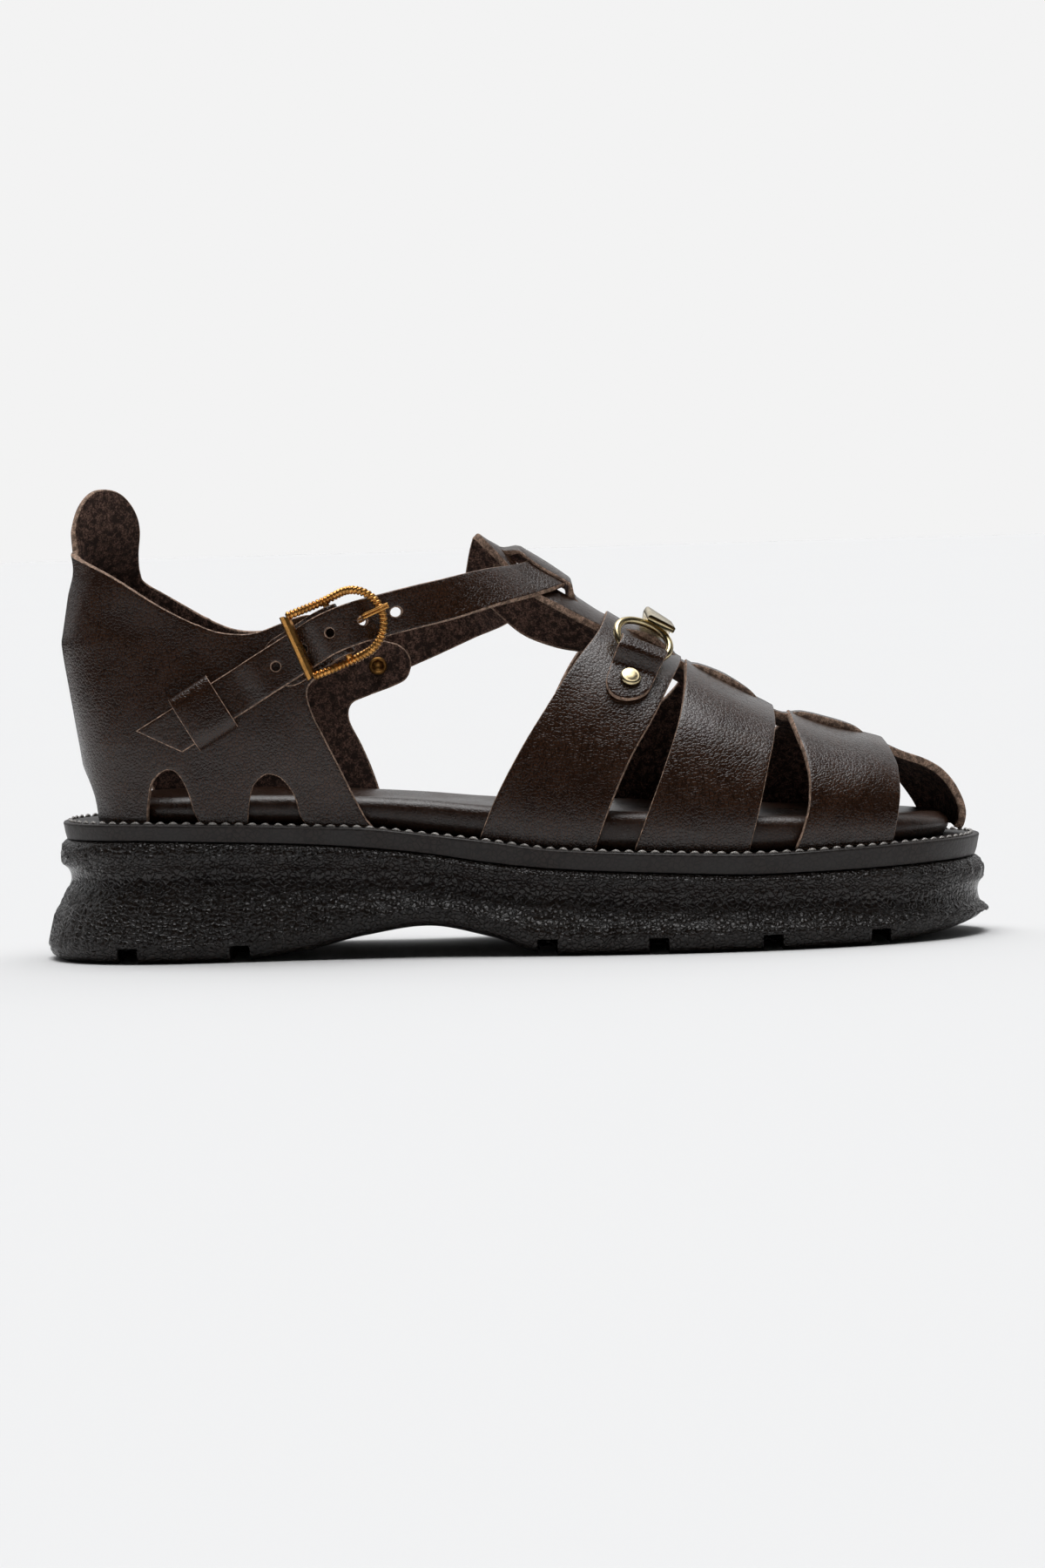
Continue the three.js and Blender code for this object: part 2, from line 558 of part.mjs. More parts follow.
function makeCentreStrip() {
  const acrossSteps = 4;
  const grid = STRIP_OVER_LAST.map((end) => {
    const row = [];
    for (let j = 0; j <= acrossSteps; j += 1) {
      const t = j / acrossSteps;
      const x = THREE.MathUtils.lerp(end.nearX, end.farX, t);
      const y = THREE.MathUtils.lerp(end.nearY, end.farY, t);
      row.push(onLast(x, y, end.lift));
    }
    return row;
  });
  for (const end of STRIP_TOE) {
    const near = new THREE.Vector3(end.nearX, end.nearY, end.nearZ);
    const far = new THREE.Vector3(end.farX, end.farY, end.farZ);
    const outward = new THREE.Vector3(0.75, 0.25, 0.6).normalize();
    const row = [];
    for (let j = 0; j <= acrossSteps; j += 1) {
      const t = j / acrossSteps;
      row.push(near.clone().lerp(far, t).addScaledVector(outward, end.bow * 4 * t * (1 - t)));
    }
    grid.push(row);
  }
  const strip = sheet(grid, STRIP_THICK);
  const window = [
    [BRIDGE_WINDOW.rearX, 80], [BRIDGE_WINDOW.frontX, 80],
    [BRIDGE_WINDOW.frontX, 130], [BRIDGE_WINDOW.rearX, 130],
  ];
  return strip.subtract(sidePrism(window, BRIDGE.nearY, BRIDGE.farY)).add(makeBridge());
}

// The raised part of the strip that the ankle strap runs under
function makeBridge() {
  const grid = [];
  const lengthSteps = 12;
  const acrossSteps = 3;
  for (let i = 0; i <= lengthSteps; i += 1) {
    const x = THREE.MathUtils.lerp(BRIDGE.rearX, BRIDGE.frontX, i / lengthSteps);
    const rising = smooth(BRIDGE.rearX + 2, BRIDGE.rearX + 6, x);
    const falling = 1 - smooth(BRIDGE.frontX - 6, BRIDGE.frontX - 2, x);
    const row = [];
    for (let j = 0; j <= acrossSteps; j += 1) {
      const y = THREE.MathUtils.lerp(BRIDGE.nearY, BRIDGE.farY, j / acrossSteps);
      row.push(onLast(x, y, (BRIDGE.lift + BRIDGE_THICK) * rising * falling));
    }
    grid.push(row);
  }
  return sheet(grid, BRIDGE_THICK);
}

// The counter's outer face: distance from the centre line at a place along its sides
function counterHalf(side, x, z) {
  const base = halfWidth(side, Math.max(x, COUNTER_CAP_X), UPPER_INSET);
  const collar = readColumn(COUNTER_COLLAR, side, x);
  const belly = 1.6 * Math.sin(Math.PI * smooth(40, 100, z));
  return THREE.MathUtils.lerp(base, collar, smooth(40, 104, z)) + belly;
}

function counterY(side, x, z) {
  const sign = side === 'lateral' ? -1 : 1;
  if (x >= COUNTER_CAP_X) return sign * counterHalf(side, x, z);
  const back = readColumn(COUNTER_BACK, 'x', z, 'z');
  const t = Math.min(1, (COUNTER_CAP_X - x) / (COUNTER_CAP_X - back));
  const round = Math.pow(1 - Math.pow(t, COUNTER_ROUND), 1 / COUNTER_ROUND);
  return sign * counterHalf(side, COUNTER_CAP_X, z) * round;
}

function onCounter(side, x, z, lift = 0) {
  const step = 0.5;
  const point = new THREE.Vector3(x, counterY(side, x, z), z);
  const alongX = new THREE.Vector3(2 * step, counterY(side, x + step, z) - counterY(side, x - step, z), 0);
  const alongZ = new THREE.Vector3(0, counterY(side, x, z + step) - counterY(side, x, z - step), 2 * step);
  const normal = side === 'lateral' ? alongX.cross(alongZ) : alongZ.cross(alongX);
  normal.normalize();
  return { point: point.addScaledVector(normal, lift), normal };
}

// One point of the counter's wrap: turn runs from the lateral front round the heel to the medial front
function counterWrap(turn, z) {
  const capAngle = THREE.MathUtils.clamp(turn, -90, 90);
  const side = turn < 0 ? 'lateral' : 'medial';
  const sign = turn < 0 ? -1 : 1;
  const beyond = Math.abs(turn) - 90;
  if (beyond > 0) {
    const x = COUNTER_CAP_X + beyond;
    return new THREE.Vector3(x, sign * counterHalf(side, x, z), z);
  }
  const back = readColumn(COUNTER_BACK, 'x', z, 'z');
  const radians = THREE.MathUtils.degToRad(capAngle);
  const power = 2 / COUNTER_ROUND;
  const wrapped = new THREE.Vector3(
    COUNTER_CAP_X - (COUNTER_CAP_X - back) * Math.pow(Math.cos(radians), power),
    sign * counterHalf(side, COUNTER_CAP_X, z) * Math.pow(Math.abs(Math.sin(radians)), power),
    z,
  );
  const { start, end, fade, low, high } = TAB_LINE;
  const along = (capAngle - start.angle) / (end.angle - start.angle);
  const straight = new THREE.Vector3(
    THREE.MathUtils.lerp(start.x, end.x, along),
    THREE.MathUtils.lerp(start.y, end.y, along),
    z,
  );
  const fromStart = smooth(start.angle - fade, start.angle, capAngle);
  const toEnd = 1 - smooth(end.angle, end.angle + fade, capAngle);
  return wrapped.lerp(straight, smooth(low, high, z) * fromStart * toEnd);
}

function archOutline({ left, right, top, crest }) {
  const foot = 25;
  const shoulder = top - 6;
  const sides = [[left - 0.4, foot], [left, shoulder - 4], [left + 1.2, shoulder + 2]];
  const crown = [[(left + crest) / 2 + 0.6, top - 0.9], [crest, top], [(right + crest) / 2 - 0.8, top - 1.3]];
  return [...sides, ...crown, [right - 1.6, shoulder], [right, shoulder - 6], [right + 3.2, foot]];
}

function makeCounter() {
  const turns = [...spread(-140, -90, 12.5), ...spread(-80, 80, 10), ...spread(90, 152, 12.4)];
  const heights = [42, 49, 58, 69, 80, 90.5, 98, 105, 111, 117, 125, 138];
  const foot = turns.map((turn) => {
    const above = counterWrap(turn, heights[0]);
    return counterWrap(turn, level('weltTop', above.x) + GAP);
  });
  const grid = [foot, ...heights.map((z) => turns.map((turn) => counterWrap(turn, z)))];
  const shell = sheet(grid, LEATHER);
  const lateral = sidePrism([...COUNTER_LATERAL], -60, -3);
  const medial = sidePrism([...COUNTER_MEDIAL], -3.5, 60);
  let body = shell.intersect(lateral.add(medial));
  for (const arch of COUNTER_ARCHES.lateral) {
    body = body.subtract(sidePrism(splineThrough(archOutline(arch), 14), -60, -2));
  }
  for (const arch of COUNTER_ARCHES.medial) {
    body = body.subtract(sidePrism(splineThrough(archOutline(arch), 14), 20, 60));
  }
  return body.subtract(heelArchCutter());
}

function heelArchCutter() {
  const outline = [];
  const { halfWidth: half, top } = HEEL_ARCH;
  for (let k = 0; k <= 12; k += 1) {
    const turn = (k / 12) * Math.PI;
    outline.push([half * Math.cos(turn), top - 12 + 12 * Math.sin(turn)]);
  }
  outline.push([-half - 1, 25], [half + 1, 25]);
  const place = new THREE.Matrix4().makeBasis(
    new THREE.Vector3(0, 1, 0),
    new THREE.Vector3(0, 0, 1),
    new THREE.Vector3(1, 0, 0),
  );
  place.setPosition(-145, 0, 0);
  return extrudeOutline(outline, 35, place);
}

// The strap's seat as a curve, with the outward direction at each of its points
function strapSeat() {
  const points = [];
  const normals = [];
  for (const row of STRAP_SEAT) {
    if (row.on === 'last') {
      points.push(onLast(row.x, row.y));
      normals.push(lastNormal(row.x, row.y));
    } else if (row.on === 'air') {
      points.push(new THREE.Vector3(row.x, row.y, row.z));
      normals.push(null);
    } else {
      const seat = onCounter(row.on, row.x, row.z);
      points.push(seat.point);
      normals.push(seat.normal);
    }
  }
  const known = normals.map((normal, k) => (normal ? k : -1)).filter((k) => k >= 0);
  const filled = normals.map((normal, k) => {
    if (normal) return normal;
    const before = known.filter((m) => m < k).pop();
    const after = known.find((m) => m > k);
    return normals[before].clone().lerp(normals[after], (k - before) / (after - before)).normalize();
  });
  const curve = new THREE.CatmullRomCurve3(points, false, 'centripetal');
  curve.arcLengthDivisions = 400;
  const directions = new THREE.CatmullRomCurve3(filled, false, 'catmullrom');
  return { curve, directions, length: curve.getLength() };
}

const SEAT = strapSeat();

// A frame on the strap's seat at a distance from the buckle's bar
function seatFrame(distance) {
  const u = THREE.MathUtils.clamp((distance + BAR_DISTANCE) / SEAT.length, 0, 1);
  const t = SEAT.curve.getUtoTmapping(u);
  const point = SEAT.curve.getPoint(t);
  const along = SEAT.curve.getTangent(t);
  const normal = SEAT.directions.getPoint(t);
  normal.addScaledVector(along, -normal.dot(along)).normalize();
  const across = normal.clone().cross(along).normalize();
  return { point, along, normal, across };
}

function seatPoint(distance, across, lift) {
  const frame = seatFrame(distance);
  return frame.point.clone().addScaledVector(frame.across, across).addScaledVector(frame.normal, lift);
}

// A flat band on the strap's seat: a row every few millimetres, outer face at a given height
function seatBand(distances, width, thick, outerLift, acrossSteps = 2) {
  const grid = distances.map((distance) => {
    const row = [];
    for (let j = 0; j <= acrossSteps; j += 1) {
      const across = width * (j / acrossSteps - 0.5);
      row.push(seatPoint(distance, across, outerLift(distance)));
    }
    return row;
  });
  return sheet(grid, thick);
}

function spread(from, to, step) {
  const count = Math.max(2, Math.ceil((to - from) / step));
  return Array.from({ length: count + 1 }, (_, k) => from + ((to - from) * k) / count);
}

function pegOnSeat(distance, radius, low, high, sides = 10) {
  const frame = seatFrame(distance);
  const peg = new THREE.CylinderGeometry(radius, radius, high - low, sides);
  const place = new THREE.Matrix4().makeBasis(frame.across, frame.normal, frame.along);
  place.setPosition(seatPoint(distance, 0, (low + high) / 2));
  return fromGeometry(peg, place);
}

function strapLift(distance) {
  return readColumn(STRAP_LIFT, 'lift', distance, 'at');
}

function makeAnkleStrap() {
  const from = -BAR_DISTANCE;
  const to = SEAT.length - BAR_DISTANCE;
  const distances = [...spread(from, -28, 7), ...spread(-24, 26, 3.2), ...spread(30, to, 4.6)];
  let strap = seatBand(distances, STRAP_WIDTH, STRAP_THICK, (d) => strapLift(d) + STRAP_THICK / 2, 1);
  for (const hole of STRAP_HOLES) {
    strap = strap.subtract(pegOnSeat(hole, STRAP_HOLE_RADIUS, strapLift(hole) - 4, strapLift(hole) + 4));
  }
  return strap.subtract(prongPassage()).subtract(tailCutter());
}

// Opens the buckled hole where the prong comes up through it
function prongPassage() {
  const base = seatFrame(0);
  const { width, holeRear, holeFront } = PRONG;
  const low = BUCKLE.barLift;
  const high = BUCKLE.endLift + 2;
  const outline = [
    [holeRear - GAP, low], [holeFront + GAP, low], [holeFront + GAP, high], [holeRear - GAP, high],
  ];
  return extrudeOutline(outline, width + 2 * GAP, prongPlane(base, width + 2 * GAP));
}

// The upright plane the prong lies in, for an outline of distances and heights
function prongPlane(base, width) {
  const turned = base.along.clone().cross(base.normal);
  const place = new THREE.Matrix4().makeBasis(base.along, base.normal, turned);
  return place.setPosition(base.point.clone().addScaledVector(turned, -width / 2));
}

// Cuts the tail to its slanted point
function tailCutter() {
  const frame = seatFrame(-BAR_DISTANCE);
  const high = STRAP_WIDTH / 2 + 1;
  const outline = [[-20, high], [0.2, high], [STRAP_TAIL_SLANT, -high], [-20, -high]];
  const turned = frame.along.clone().cross(frame.across);
  const place = new THREE.Matrix4().makeBasis(frame.along, frame.across, turned);
  place.setPosition(frame.point.clone().addScaledVector(turned, -10));
  return extrudeOutline(outline, 20, place);
}

// The chape: a plate under the strap whose folded end holds the buckle's centre bar
function makeChape() {
  const barTop = BUCKLE.barLift + BAR_RADIUS + GAP + CHAPE.thick;
  const footTop = GAP + CHAPE.thick;
  const lift = (d) => THREE.MathUtils.lerp(footTop, barTop, smooth(-12, -2, d));
  const foot = seatBand([CHAPE.from, -12, -6, CHAPE.to], CHAPE.width, CHAPE.thick, () => footTop, 1);
  const cover = seatBand([...spread(-17, -1, 2), CHAPE.to], CHAPE.width, CHAPE.thick, lift, 1);
  const end = seatBand([CHAPE.foldFrom, CHAPE.to], CHAPE.width, barTop - GAP, () => barTop, 1);
  return foot.add(cover).add(end).subtract(prongSlot()).subtract(chapeCornerCutter());
}

function prongSlot() {
  const grid = [-2.4, 8].map((d) => [-1.4, 1.4].map((across) => seatPoint(d, across, 12)));
  return sheet(grid, 10.2);
}

function chapeCornerCutter() {
  const frame = seatFrame(CHAPE.from);
  const half = CHAPE.width / 2;
  const outline = [];
  for (let k = 0; k <= 10; k += 1) {
    const turn = Math.PI / 2 + (k / 10) * Math.PI;
    outline.push([half + half * Math.cos(turn), half * Math.sin(turn)]);
  }
  outline.push([half, -half - 2], [-4, -half - 2], [-4, half + 2], [half, half + 2]);
  const place = new THREE.Matrix4().makeBasis(frame.along, frame.across, frame.normal);
  place.setPosition(frame.point.clone().addScaledVector(frame.normal, -4));
  return extrudeOutline(outline, 12, place);
}

// A closed wire along a loop of points, with a round section
function wireLoop(points, radius, sides) {
  const count = points.length;
  const ring = [];
  const centre = points.reduce((sum, p) => sum.add(p), new THREE.Vector3()).divideScalar(count);
  for (let i = 0; i < count; i += 1) {
    const along = points[(i + 1) % count].clone().sub(points[(i + count - 1) % count]).normalize();
    const outward = points[i].clone().sub(centre);
    outward.addScaledVector(along, -outward.dot(along)).normalize();
    const up = along.clone().cross(outward);
    for (let k = 0; k < sides; k += 1) {
      const turn = (k / sides) * Math.PI * 2;
      ring.push(
        points[i].clone()
          .addScaledVector(outward, radius * Math.cos(turn))
          .addScaledVector(up, radius * Math.sin(turn)),
      );
    }
  }
  const faces = [];
  for (let i = 0; i < count; i += 1) {
    const next = (i + 1) % count;
    for (let k = 0; k < sides; k += 1) {
      const m = (k + 1) % sides;
      faces.push([i * sides + k, next * sides + m, next * sides + k]);
      faces.push([i * sides + k, i * sides + m, next * sides + m]);
    }
  }
  return solid(ring, faces);
}

// The buckle's D frame: a straight bar at the rear, two sides and a round front end
function frameLoop() {
  const half = BUCKLE.width / 2 - WIRE_RADIUS;
  const frontStart = BUCKLE.length + BUCKLE.leftBar - WIRE_RADIUS - half;
  const bow = (d) => {
    const dip = Math.cos((Math.min(1, Math.abs(d) / 13) * Math.PI) / 2);
    return BUCKLE.endLift - (BUCKLE.endLift - BUCKLE.barLift) * dip * dip;
  };
  const loop = [];
  for (const d of spread(BUCKLE.leftBar, frontStart, 3)) loop.push([d, half]);
  for (let k = 1; k < 10; k += 1) {
    const turn = Math.PI / 2 - (k / 10) * Math.PI;
    loop.push([frontStart + half * Math.cos(turn), half * Math.sin(turn)]);
  }
  for (const d of spread(BUCKLE.leftBar, frontStart, 3).reverse()) loop.push([d, -half]);
  loop.push([BUCKLE.leftBar, -half / 2], [BUCKLE.leftBar, 0], [BUCKLE.leftBar, half / 2]);
  const base = seatFrame(0);
  return loop.map(([d, across]) => base.point.clone()
    .addScaledVector(base.along, d)
    .addScaledVector(base.across, across)
    .addScaledVector(base.normal, bow(d)));
}

function makeBuckle() {
  const frame = wireLoop(frameLoop(), WIRE_RADIUS, 8);
  const base = seatFrame(0);
  const bar = new THREE.CylinderGeometry(BAR_RADIUS, BAR_RADIUS, BUCKLE.width - WIRE_RADIUS * 2, 8);
  const place = new THREE.Matrix4().makeBasis(base.along, base.across, base.normal);
  place.setPosition(base.point.clone().addScaledVector(base.normal, BUCKLE.barLift));
  return frame.add(fromGeometry(bar, place));
}

function makeProng() {
  const base = seatFrame(0);
  const { width, from, holeRear, holeFront, tip, thick } = PRONG;
  const overEnd = BUCKLE.endLift + WIRE_RADIUS + GAP;
  const start = BUCKLE.barLift + BAR_RADIUS + GAP;
  const side = [
    [from, start], [1.5, start], [holeRear - 0.2, start - 0.8], [holeFront, start - 0.8],
    [holeFront, overEnd], [tip, overEnd], [tip - 0.2, overEnd + thick], [holeFront, overEnd + thick * 1.2],
    [holeRear, overEnd + thick * 0.4], [holeRear, start + 0.2], [1.8, start + thick], [from, start + thick],
  ];
  return extrudeOutline(side, width, prongPlane(base, width));
}

// The keeper: a leather loop that stands over the strap's tail with its feet on the counter
function makeKeeper() {
  const halfLength = KEEPER.length / 2;
  const half = KEEPER.width / 2;
  const outer = [];
  const inner = [];
  const steps = 12;
  for (let k = 0; k <= steps; k += 1) {
    const turn = Math.PI - (k / steps) * Math.PI;
    const flat = Math.pow(Math.abs(Math.cos(turn)), 0.62) * Math.sign(Math.cos(turn));
    const up = Math.pow(Math.sin(turn), 0.5);
    outer.push([half * flat, GAP + (KEEPER.height + KEEPER.thick - GAP) * up]);
    inner.push([(half - KEEPER.thick) * flat, GAP + (KEEPER.height - GAP) * up]);
  }
  const outline = [...outer, ...inner.reverse()];
  const rings = spread(KEEPER.at - halfLength, KEEPER.at + halfLength, 3)
    .map((d) => outline.map(([across, lift]) => seatPoint(d, across, lift)));
  return tubeBetween(rings, outer.length);
}

// Joins equal closed outlines into a solid, each end closed by a strip between outer and inner
function tubeBetween(rings, outerCount) {
  const count = rings[0].length;
  const faces = [];
  for (let i = 0; i < rings.length - 1; i += 1) {
    for (let k = 0; k < count; k += 1) {
      const m = (k + 1) % count;
      faces.push([i * count + k, (i + 1) * count + k, (i + 1) * count + m]);
      faces.push([i * count + k, (i + 1) * count + m, i * count + m]);
    }
  }
  const end = (rings.length - 1) * count;
  for (let k = 0; k < outerCount - 1; k += 1) {
    const a = k;
    const b = k + 1;
    const c = count - 1 - b;
    const d = count - 1 - a;
    faces.push([a, c, d], [a, b, c]);
    faces.push([end + a, end + d, end + c], [end + a, end + c, end + b]);
  }
  return solid(rings.flat(), faces);
}

// A domed rivet with its face outward, on a frame given by a point and a direction
function makeRivet(point, normal, radius, low, dome) {
  const profile = [
    new THREE.Vector2(0, low),
    new THREE.Vector2(radius * 0.86, low),
    new THREE.Vector2(radius, low + dome * 0.3),
    new THREE.Vector2(radius * 0.86, low + dome * 0.75),
    new THREE.Vector2(radius * 0.45, low + dome * 0.97),
    new THREE.Vector2(0, low + dome),
  ];
  const lathe = new THREE.LatheGeometry(profile, 12);
  const turn = new THREE.Quaternion().setFromUnitVectors(new THREE.Vector3(0, 1, 0), normal);
  const place = new THREE.Matrix4().makeRotationFromQuaternion(turn);
  place.setPosition(point);
  return fromGeometry(lathe, place);
}

// A frame on the last for the bit's pieces: along points to the toe, down points to the welt
function bitFrame(side, y) {
  const point = onLast(BIT_X, y);
  const normal = lastNormal(BIT_X, y);
  const along = new THREE.Vector3(1, 0, 0);
  along.addScaledVector(normal, -normal.x).normalize();
  const down = side === 'lateral' ? along.clone().cross(normal).negate() : along.clone().cross(normal);
  if (down.z > 0) down.negate();
  return { point, normal, along, down };
}

function makeRing(side) {
  const frame = bitFrame(side, side === 'lateral' ? RING.lateralY : RING.medialY);
  const loop = [];
  for (let k = 0; k < 20; k += 1) {
    const turn = (k / 20) * Math.PI * 2;
    const out = RING.halfLength * Math.cos(turn);
    const low = RING.halfWidth * Math.sin(turn);
    const lift = RING.lift - RING.lean * Math.sin(turn) + 0.35 * Math.cos(2 * turn);
    loop.push(frame.point.clone()
      .addScaledVector(frame.along, out)
      .addScaledVector(frame.down, low)
      .addScaledVector(frame.normal, lift));
  }
  return wireLoop(loop, RING_WIRE, 6);
}

// The tab that holds a ring: it runs over the ring's lower wire and down the band to its rivet
function bitTabPoint(side, down, across, lift) {
  const sign = side === 'lateral' ? -1 : 1;
  const startY = (side === 'lateral' ? RING.lateralY : RING.medialY) + sign * 4.4;
  let y = startY;
  let travelled = 0;
  const step = 0.5;
  while (travelled < down) {
    const here = lastHeight(BIT_X, y);
    const next = lastHeight(BIT_X, y + sign * step * 0.5);
    travelled += Math.hypot(step * 0.5, next - here);
    y += sign * step * 0.5;
  }
  const lean = -0.3 * down;
  return onLast(BIT_X + lean + across, y, lift);
}

function makeBitTab(side) {
  const { width, thick, bottom } = BIT_TAB;
  const grid = [];
  const ringTop = BIT_TAB.wireLift + RING_WIRE + 2 * GAP + thick;
  for (const down of spread(-1.4, bottom, 1.5)) {
    const fromEnd = bottom - down;
    const rounding = Math.max(0, 1 - fromEnd / (width / 2));
    const narrow = Math.sqrt(Math.max(0.04, 1 - rounding ** 2));
    const lift = THREE.MathUtils.lerp(ringTop, GAP + thick, smooth(2.4, 6.4, down));
    const row = [];
    for (let j = 0; j <= 2; j += 1) {
      row.push(bitTabPoint(side, Math.max(0, down), width * narrow * (j / 2 - 0.5), lift));
      if (down < 0) row[j].addScaledVector(bitFrame(side, row[j].y).down, down);
    }
    grid.push(row);
  }
  return sheet(side === 'lateral' ? grid : grid.reverse(), thick);
}

function makeBitRivet(side) {
  const seat = bitTabPoint(side, BIT_TAB.rivet, 0, 0);
  const normal = lastNormal(seat.x, seat.y);
  return makeRivet(seat, normal, RIVET_RADIUS, 2 * GAP + BIT_TAB.thick, 1.5);
}

// The link: a flat bar over the ridge whose ends lap the rings' upper wires
function makeLink() {
  const grid = [];
  const middle = (LINK.nearY + LINK.farY) / 2;
  for (const y of spread(LINK.nearY, LINK.farY, 1.9)) {
    const row = [];
    const toEnd = Math.abs(y - middle) / (LINK.farY - middle);
    const lift = THREE.MathUtils.lerp(LINK.lift, LINK.endLift, toEnd ** 2);
    for (let j = 0; j <= 2; j += 1) {
      row.push(onLast(LINK.x + LINK.width * (j / 2 - 0.5), y, lift + GAP + LINK.thick));
    }
    grid.push(row);
  }
  return sheet(grid.reverse(), LINK.thick);
}

function makeStrapRivet() {
  const seat = onCounter('medial', EYELET.x, EYELET.z);
  const inward = seat.normal.clone().negate();
  const start = seat.point.clone().addScaledVector(inward, LEATHER);
  return makeRivet(start, inward, 2.65, GAP, 0.9);
}

// The rubber outsole: rough bands above and below a smooth groove, arch, toe spring and tread
function makeOutsole() {
  const top = (x) => level('weltLow', x) - GAP;
  const groove = (x) => level('groove', x);
  const floor = (x) => level('floor', x);
  const rings = [
    { side: 4.4, heel: 3.9, toe: 6.2, height: floor },
    { side: 2.0, heel: 1.9, toe: 2.6, height: (x) => floor(x) + 0.9 },
    { side: 0.6, heel: 0.6, toe: 0.7, height: (x) => floor(x) + 2.6 },
    { side: 0, heel: 0, toe: 0, height: (x) => Math.min(floor(x) + 5.6, groove(x) - 5) },
    { side: 1.0, heel: 1.9, toe: 0.7, height: (x) => groove(x) * 0.6 + floor(x) * 0.4 - 1.4 },
    { side: 4.0, heel: 6.2, toe: 2.4, height: (x) => groove(x) - 2.6 },
    { side: 4.7, heel: 6.9, toe: 3.0, height: (x) => groove(x) },
    { side: 4.4, heel: 6.3, toe: 2.7, height: (x) => groove(x) + 2.2 },
    { side: 2.9, heel: 4.4, toe: 1.4, height: (x) => groove(x) + 4.6 },
    { side: 2.6, heel: 4.2, toe: 1.3, height: (x) => (groove(x) + 4.6 + top(x) - 0.9) / 2 + 0.6 },
    { side: 3.6, heel: 5.4, toe: 3.0, height: (x) => top(x) - 0.5 },
    { side: 4.4, heel: 6.2, toe: 3.9, height: top },
  ].map(soleRing);
  let sole = stackRings(rings);
  for (const { x } of TREAD_RECESSES) {
    const wall = (high, wide) => [
      [x - wide / 2, -2], [x + wide / 2, -2], [x + wide / 2, high - 0.8], [x + wide / 2 - 0.8, high],
      [x - wide / 2 + 0.8, high], [x - wide / 2, high - 0.8],
    ];
    const base = level('floor', x);
    const outerY = halfWidth('lateral', x);
    const innerY = halfWidth('medial', x);
    sole = sole
      .subtract(sidePrism(wall(base + CHANNEL_HEIGHT, RECESS_WIDTH - 1), -70, 70))
      .subtract(sidePrism(wall(base + RECESS_HEIGHT, RECESS_WIDTH), -70, -outerY + RECESS_DEPTH))
      .subtract(sidePrism(wall(base + RECESS_HEIGHT, RECESS_WIDTH), innerY - RECESS_DEPTH, 70));
  }
  return sole;
}

// The welt plate between outsole and upper, its side leaning out to a sharp top edge
function makeWelt() {
  const low = (x) => level('weltLow', x);
  const top = (x) => level('weltTop', x);
  return stackRings([
    { side: 4.1, heel: 6.0, toe: 3.6, height: low },
    { side: 3.7, heel: 5.6, toe: 3.0, height: (x) => low(x) + 1.6 },
    { side: 3.2, heel: 5.1, toe: 2.2, height: (x) => top(x) - 0.6 },
    { side: 3.6, heel: 5.6, toe: 2.6, height: top },
  ].map(soleRing));
}

// The leather-covered footbed, with a rounded rim and a shallow dish under the heel
function makeFootbed() {
  const low = (x) => level('weltTop', x) + GAP;
  const top = (x) => level('bed', x);
  const dish = (x) => 1.6 * (1 - smooth(-70, 10, x)) + 0.5;
  return stackRings([
    { side: 12.4, heel: 17.2, toe: 12.4, height: low },
    { side: 11.2, heel: 15.8, toe: 11.4, height: (x) => low(x) + 1.6 },
    { side: 10.8, heel: 15.3, toe: 10.9, height: (x) => (low(x) + top(x)) / 2 },
    { side: 11.3, heel: 15.6, toe: 11.5, height: (x) => top(x) - 1.5 },
    { side: 13.2, heel: 17.8, toe: 13.4, height: (x) => top(x) - 0.2 },
    { side: 16.5, heel: 21.6, toe: 17, height: (x) => top(x) },
    { side: 23, heel: 28.6, toe: 24, height: (x) => top(x) - dish(x) },
  ].map((ring) => soleRing({ ...ring, heelRound: FOOTBED_HEEL_ROUND })));
}

function material(color, roughness, metalness = 0) {
  return new THREE.MeshStandardMaterial({ color, roughness, metalness });
}

const MATERIALS = {
  leather: material(COLOURS.leather, 0.38),
  rubber: material(COLOURS.rubber, 0.55),
  welt: material(COLOURS.welt, 0.6),
  footbed: material(COLOURS.footbed, 0.5),
  gold: material(COLOURS.gold, 0.3, 1),
  paleGold: material(COLOURS.paleGold, 0.25, 1),
};

const group = new THREE.Group();
group.name = 'cage_sandal';

function addPiece(name, body, finish) {
  const mesh = new THREE.Mesh(toGeometry(body), finish);
  mesh.name = name;
  group.add(mesh);
}

addPiece('outsole', makeOutsole(), MATERIALS.rubber);
addPiece('welt', makeWelt(), MATERIALS.welt);
addPiece('footbed', makeFootbed(), MATERIALS.footbed);
addPiece('vamp_cage', makeCage(), MATERIALS.leather);
addPiece('heel_counter', makeCounter(), MATERIALS.leather);
addPiece('ankle_strap', makeAnkleStrap(), MATERIALS.leather);
addPiece('buckle_chape', makeChape(), MATERIALS.leather);
addPiece('strap_keeper', makeKeeper(), MATERIALS.leather);
addPiece('buckle_frame', makeBuckle(), MATERIALS.gold);
addPiece('buckle_prong', makeProng(), MATERIALS.gold);
addPiece('strap_rivet', makeStrapRivet(), MATERIALS.gold);
addPiece('bit_link', makeLink(), MATERIALS.paleGold);
for (const side of ['lateral', 'medial']) {
  addPiece(`bit_ring_${side}`, makeRing(side), MATERIALS.paleGold);
  addPiece(`bit_tab_${side}`, makeBitTab(side), MATERIALS.leather);
  addPiece(`bit_rivet_${side}`, makeBitRivet(side), MATERIALS.paleGold);
}

export default group;
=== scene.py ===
"""Dresses the cage sandal: cut leather bands, coiled buckle, metal bit and pebbled platform sole."""
import math

import bpy
import numpy as np
from mathutils import Matrix, Vector, noise as space_noise
from mathutils.geometry import delaunay_2d_cdt


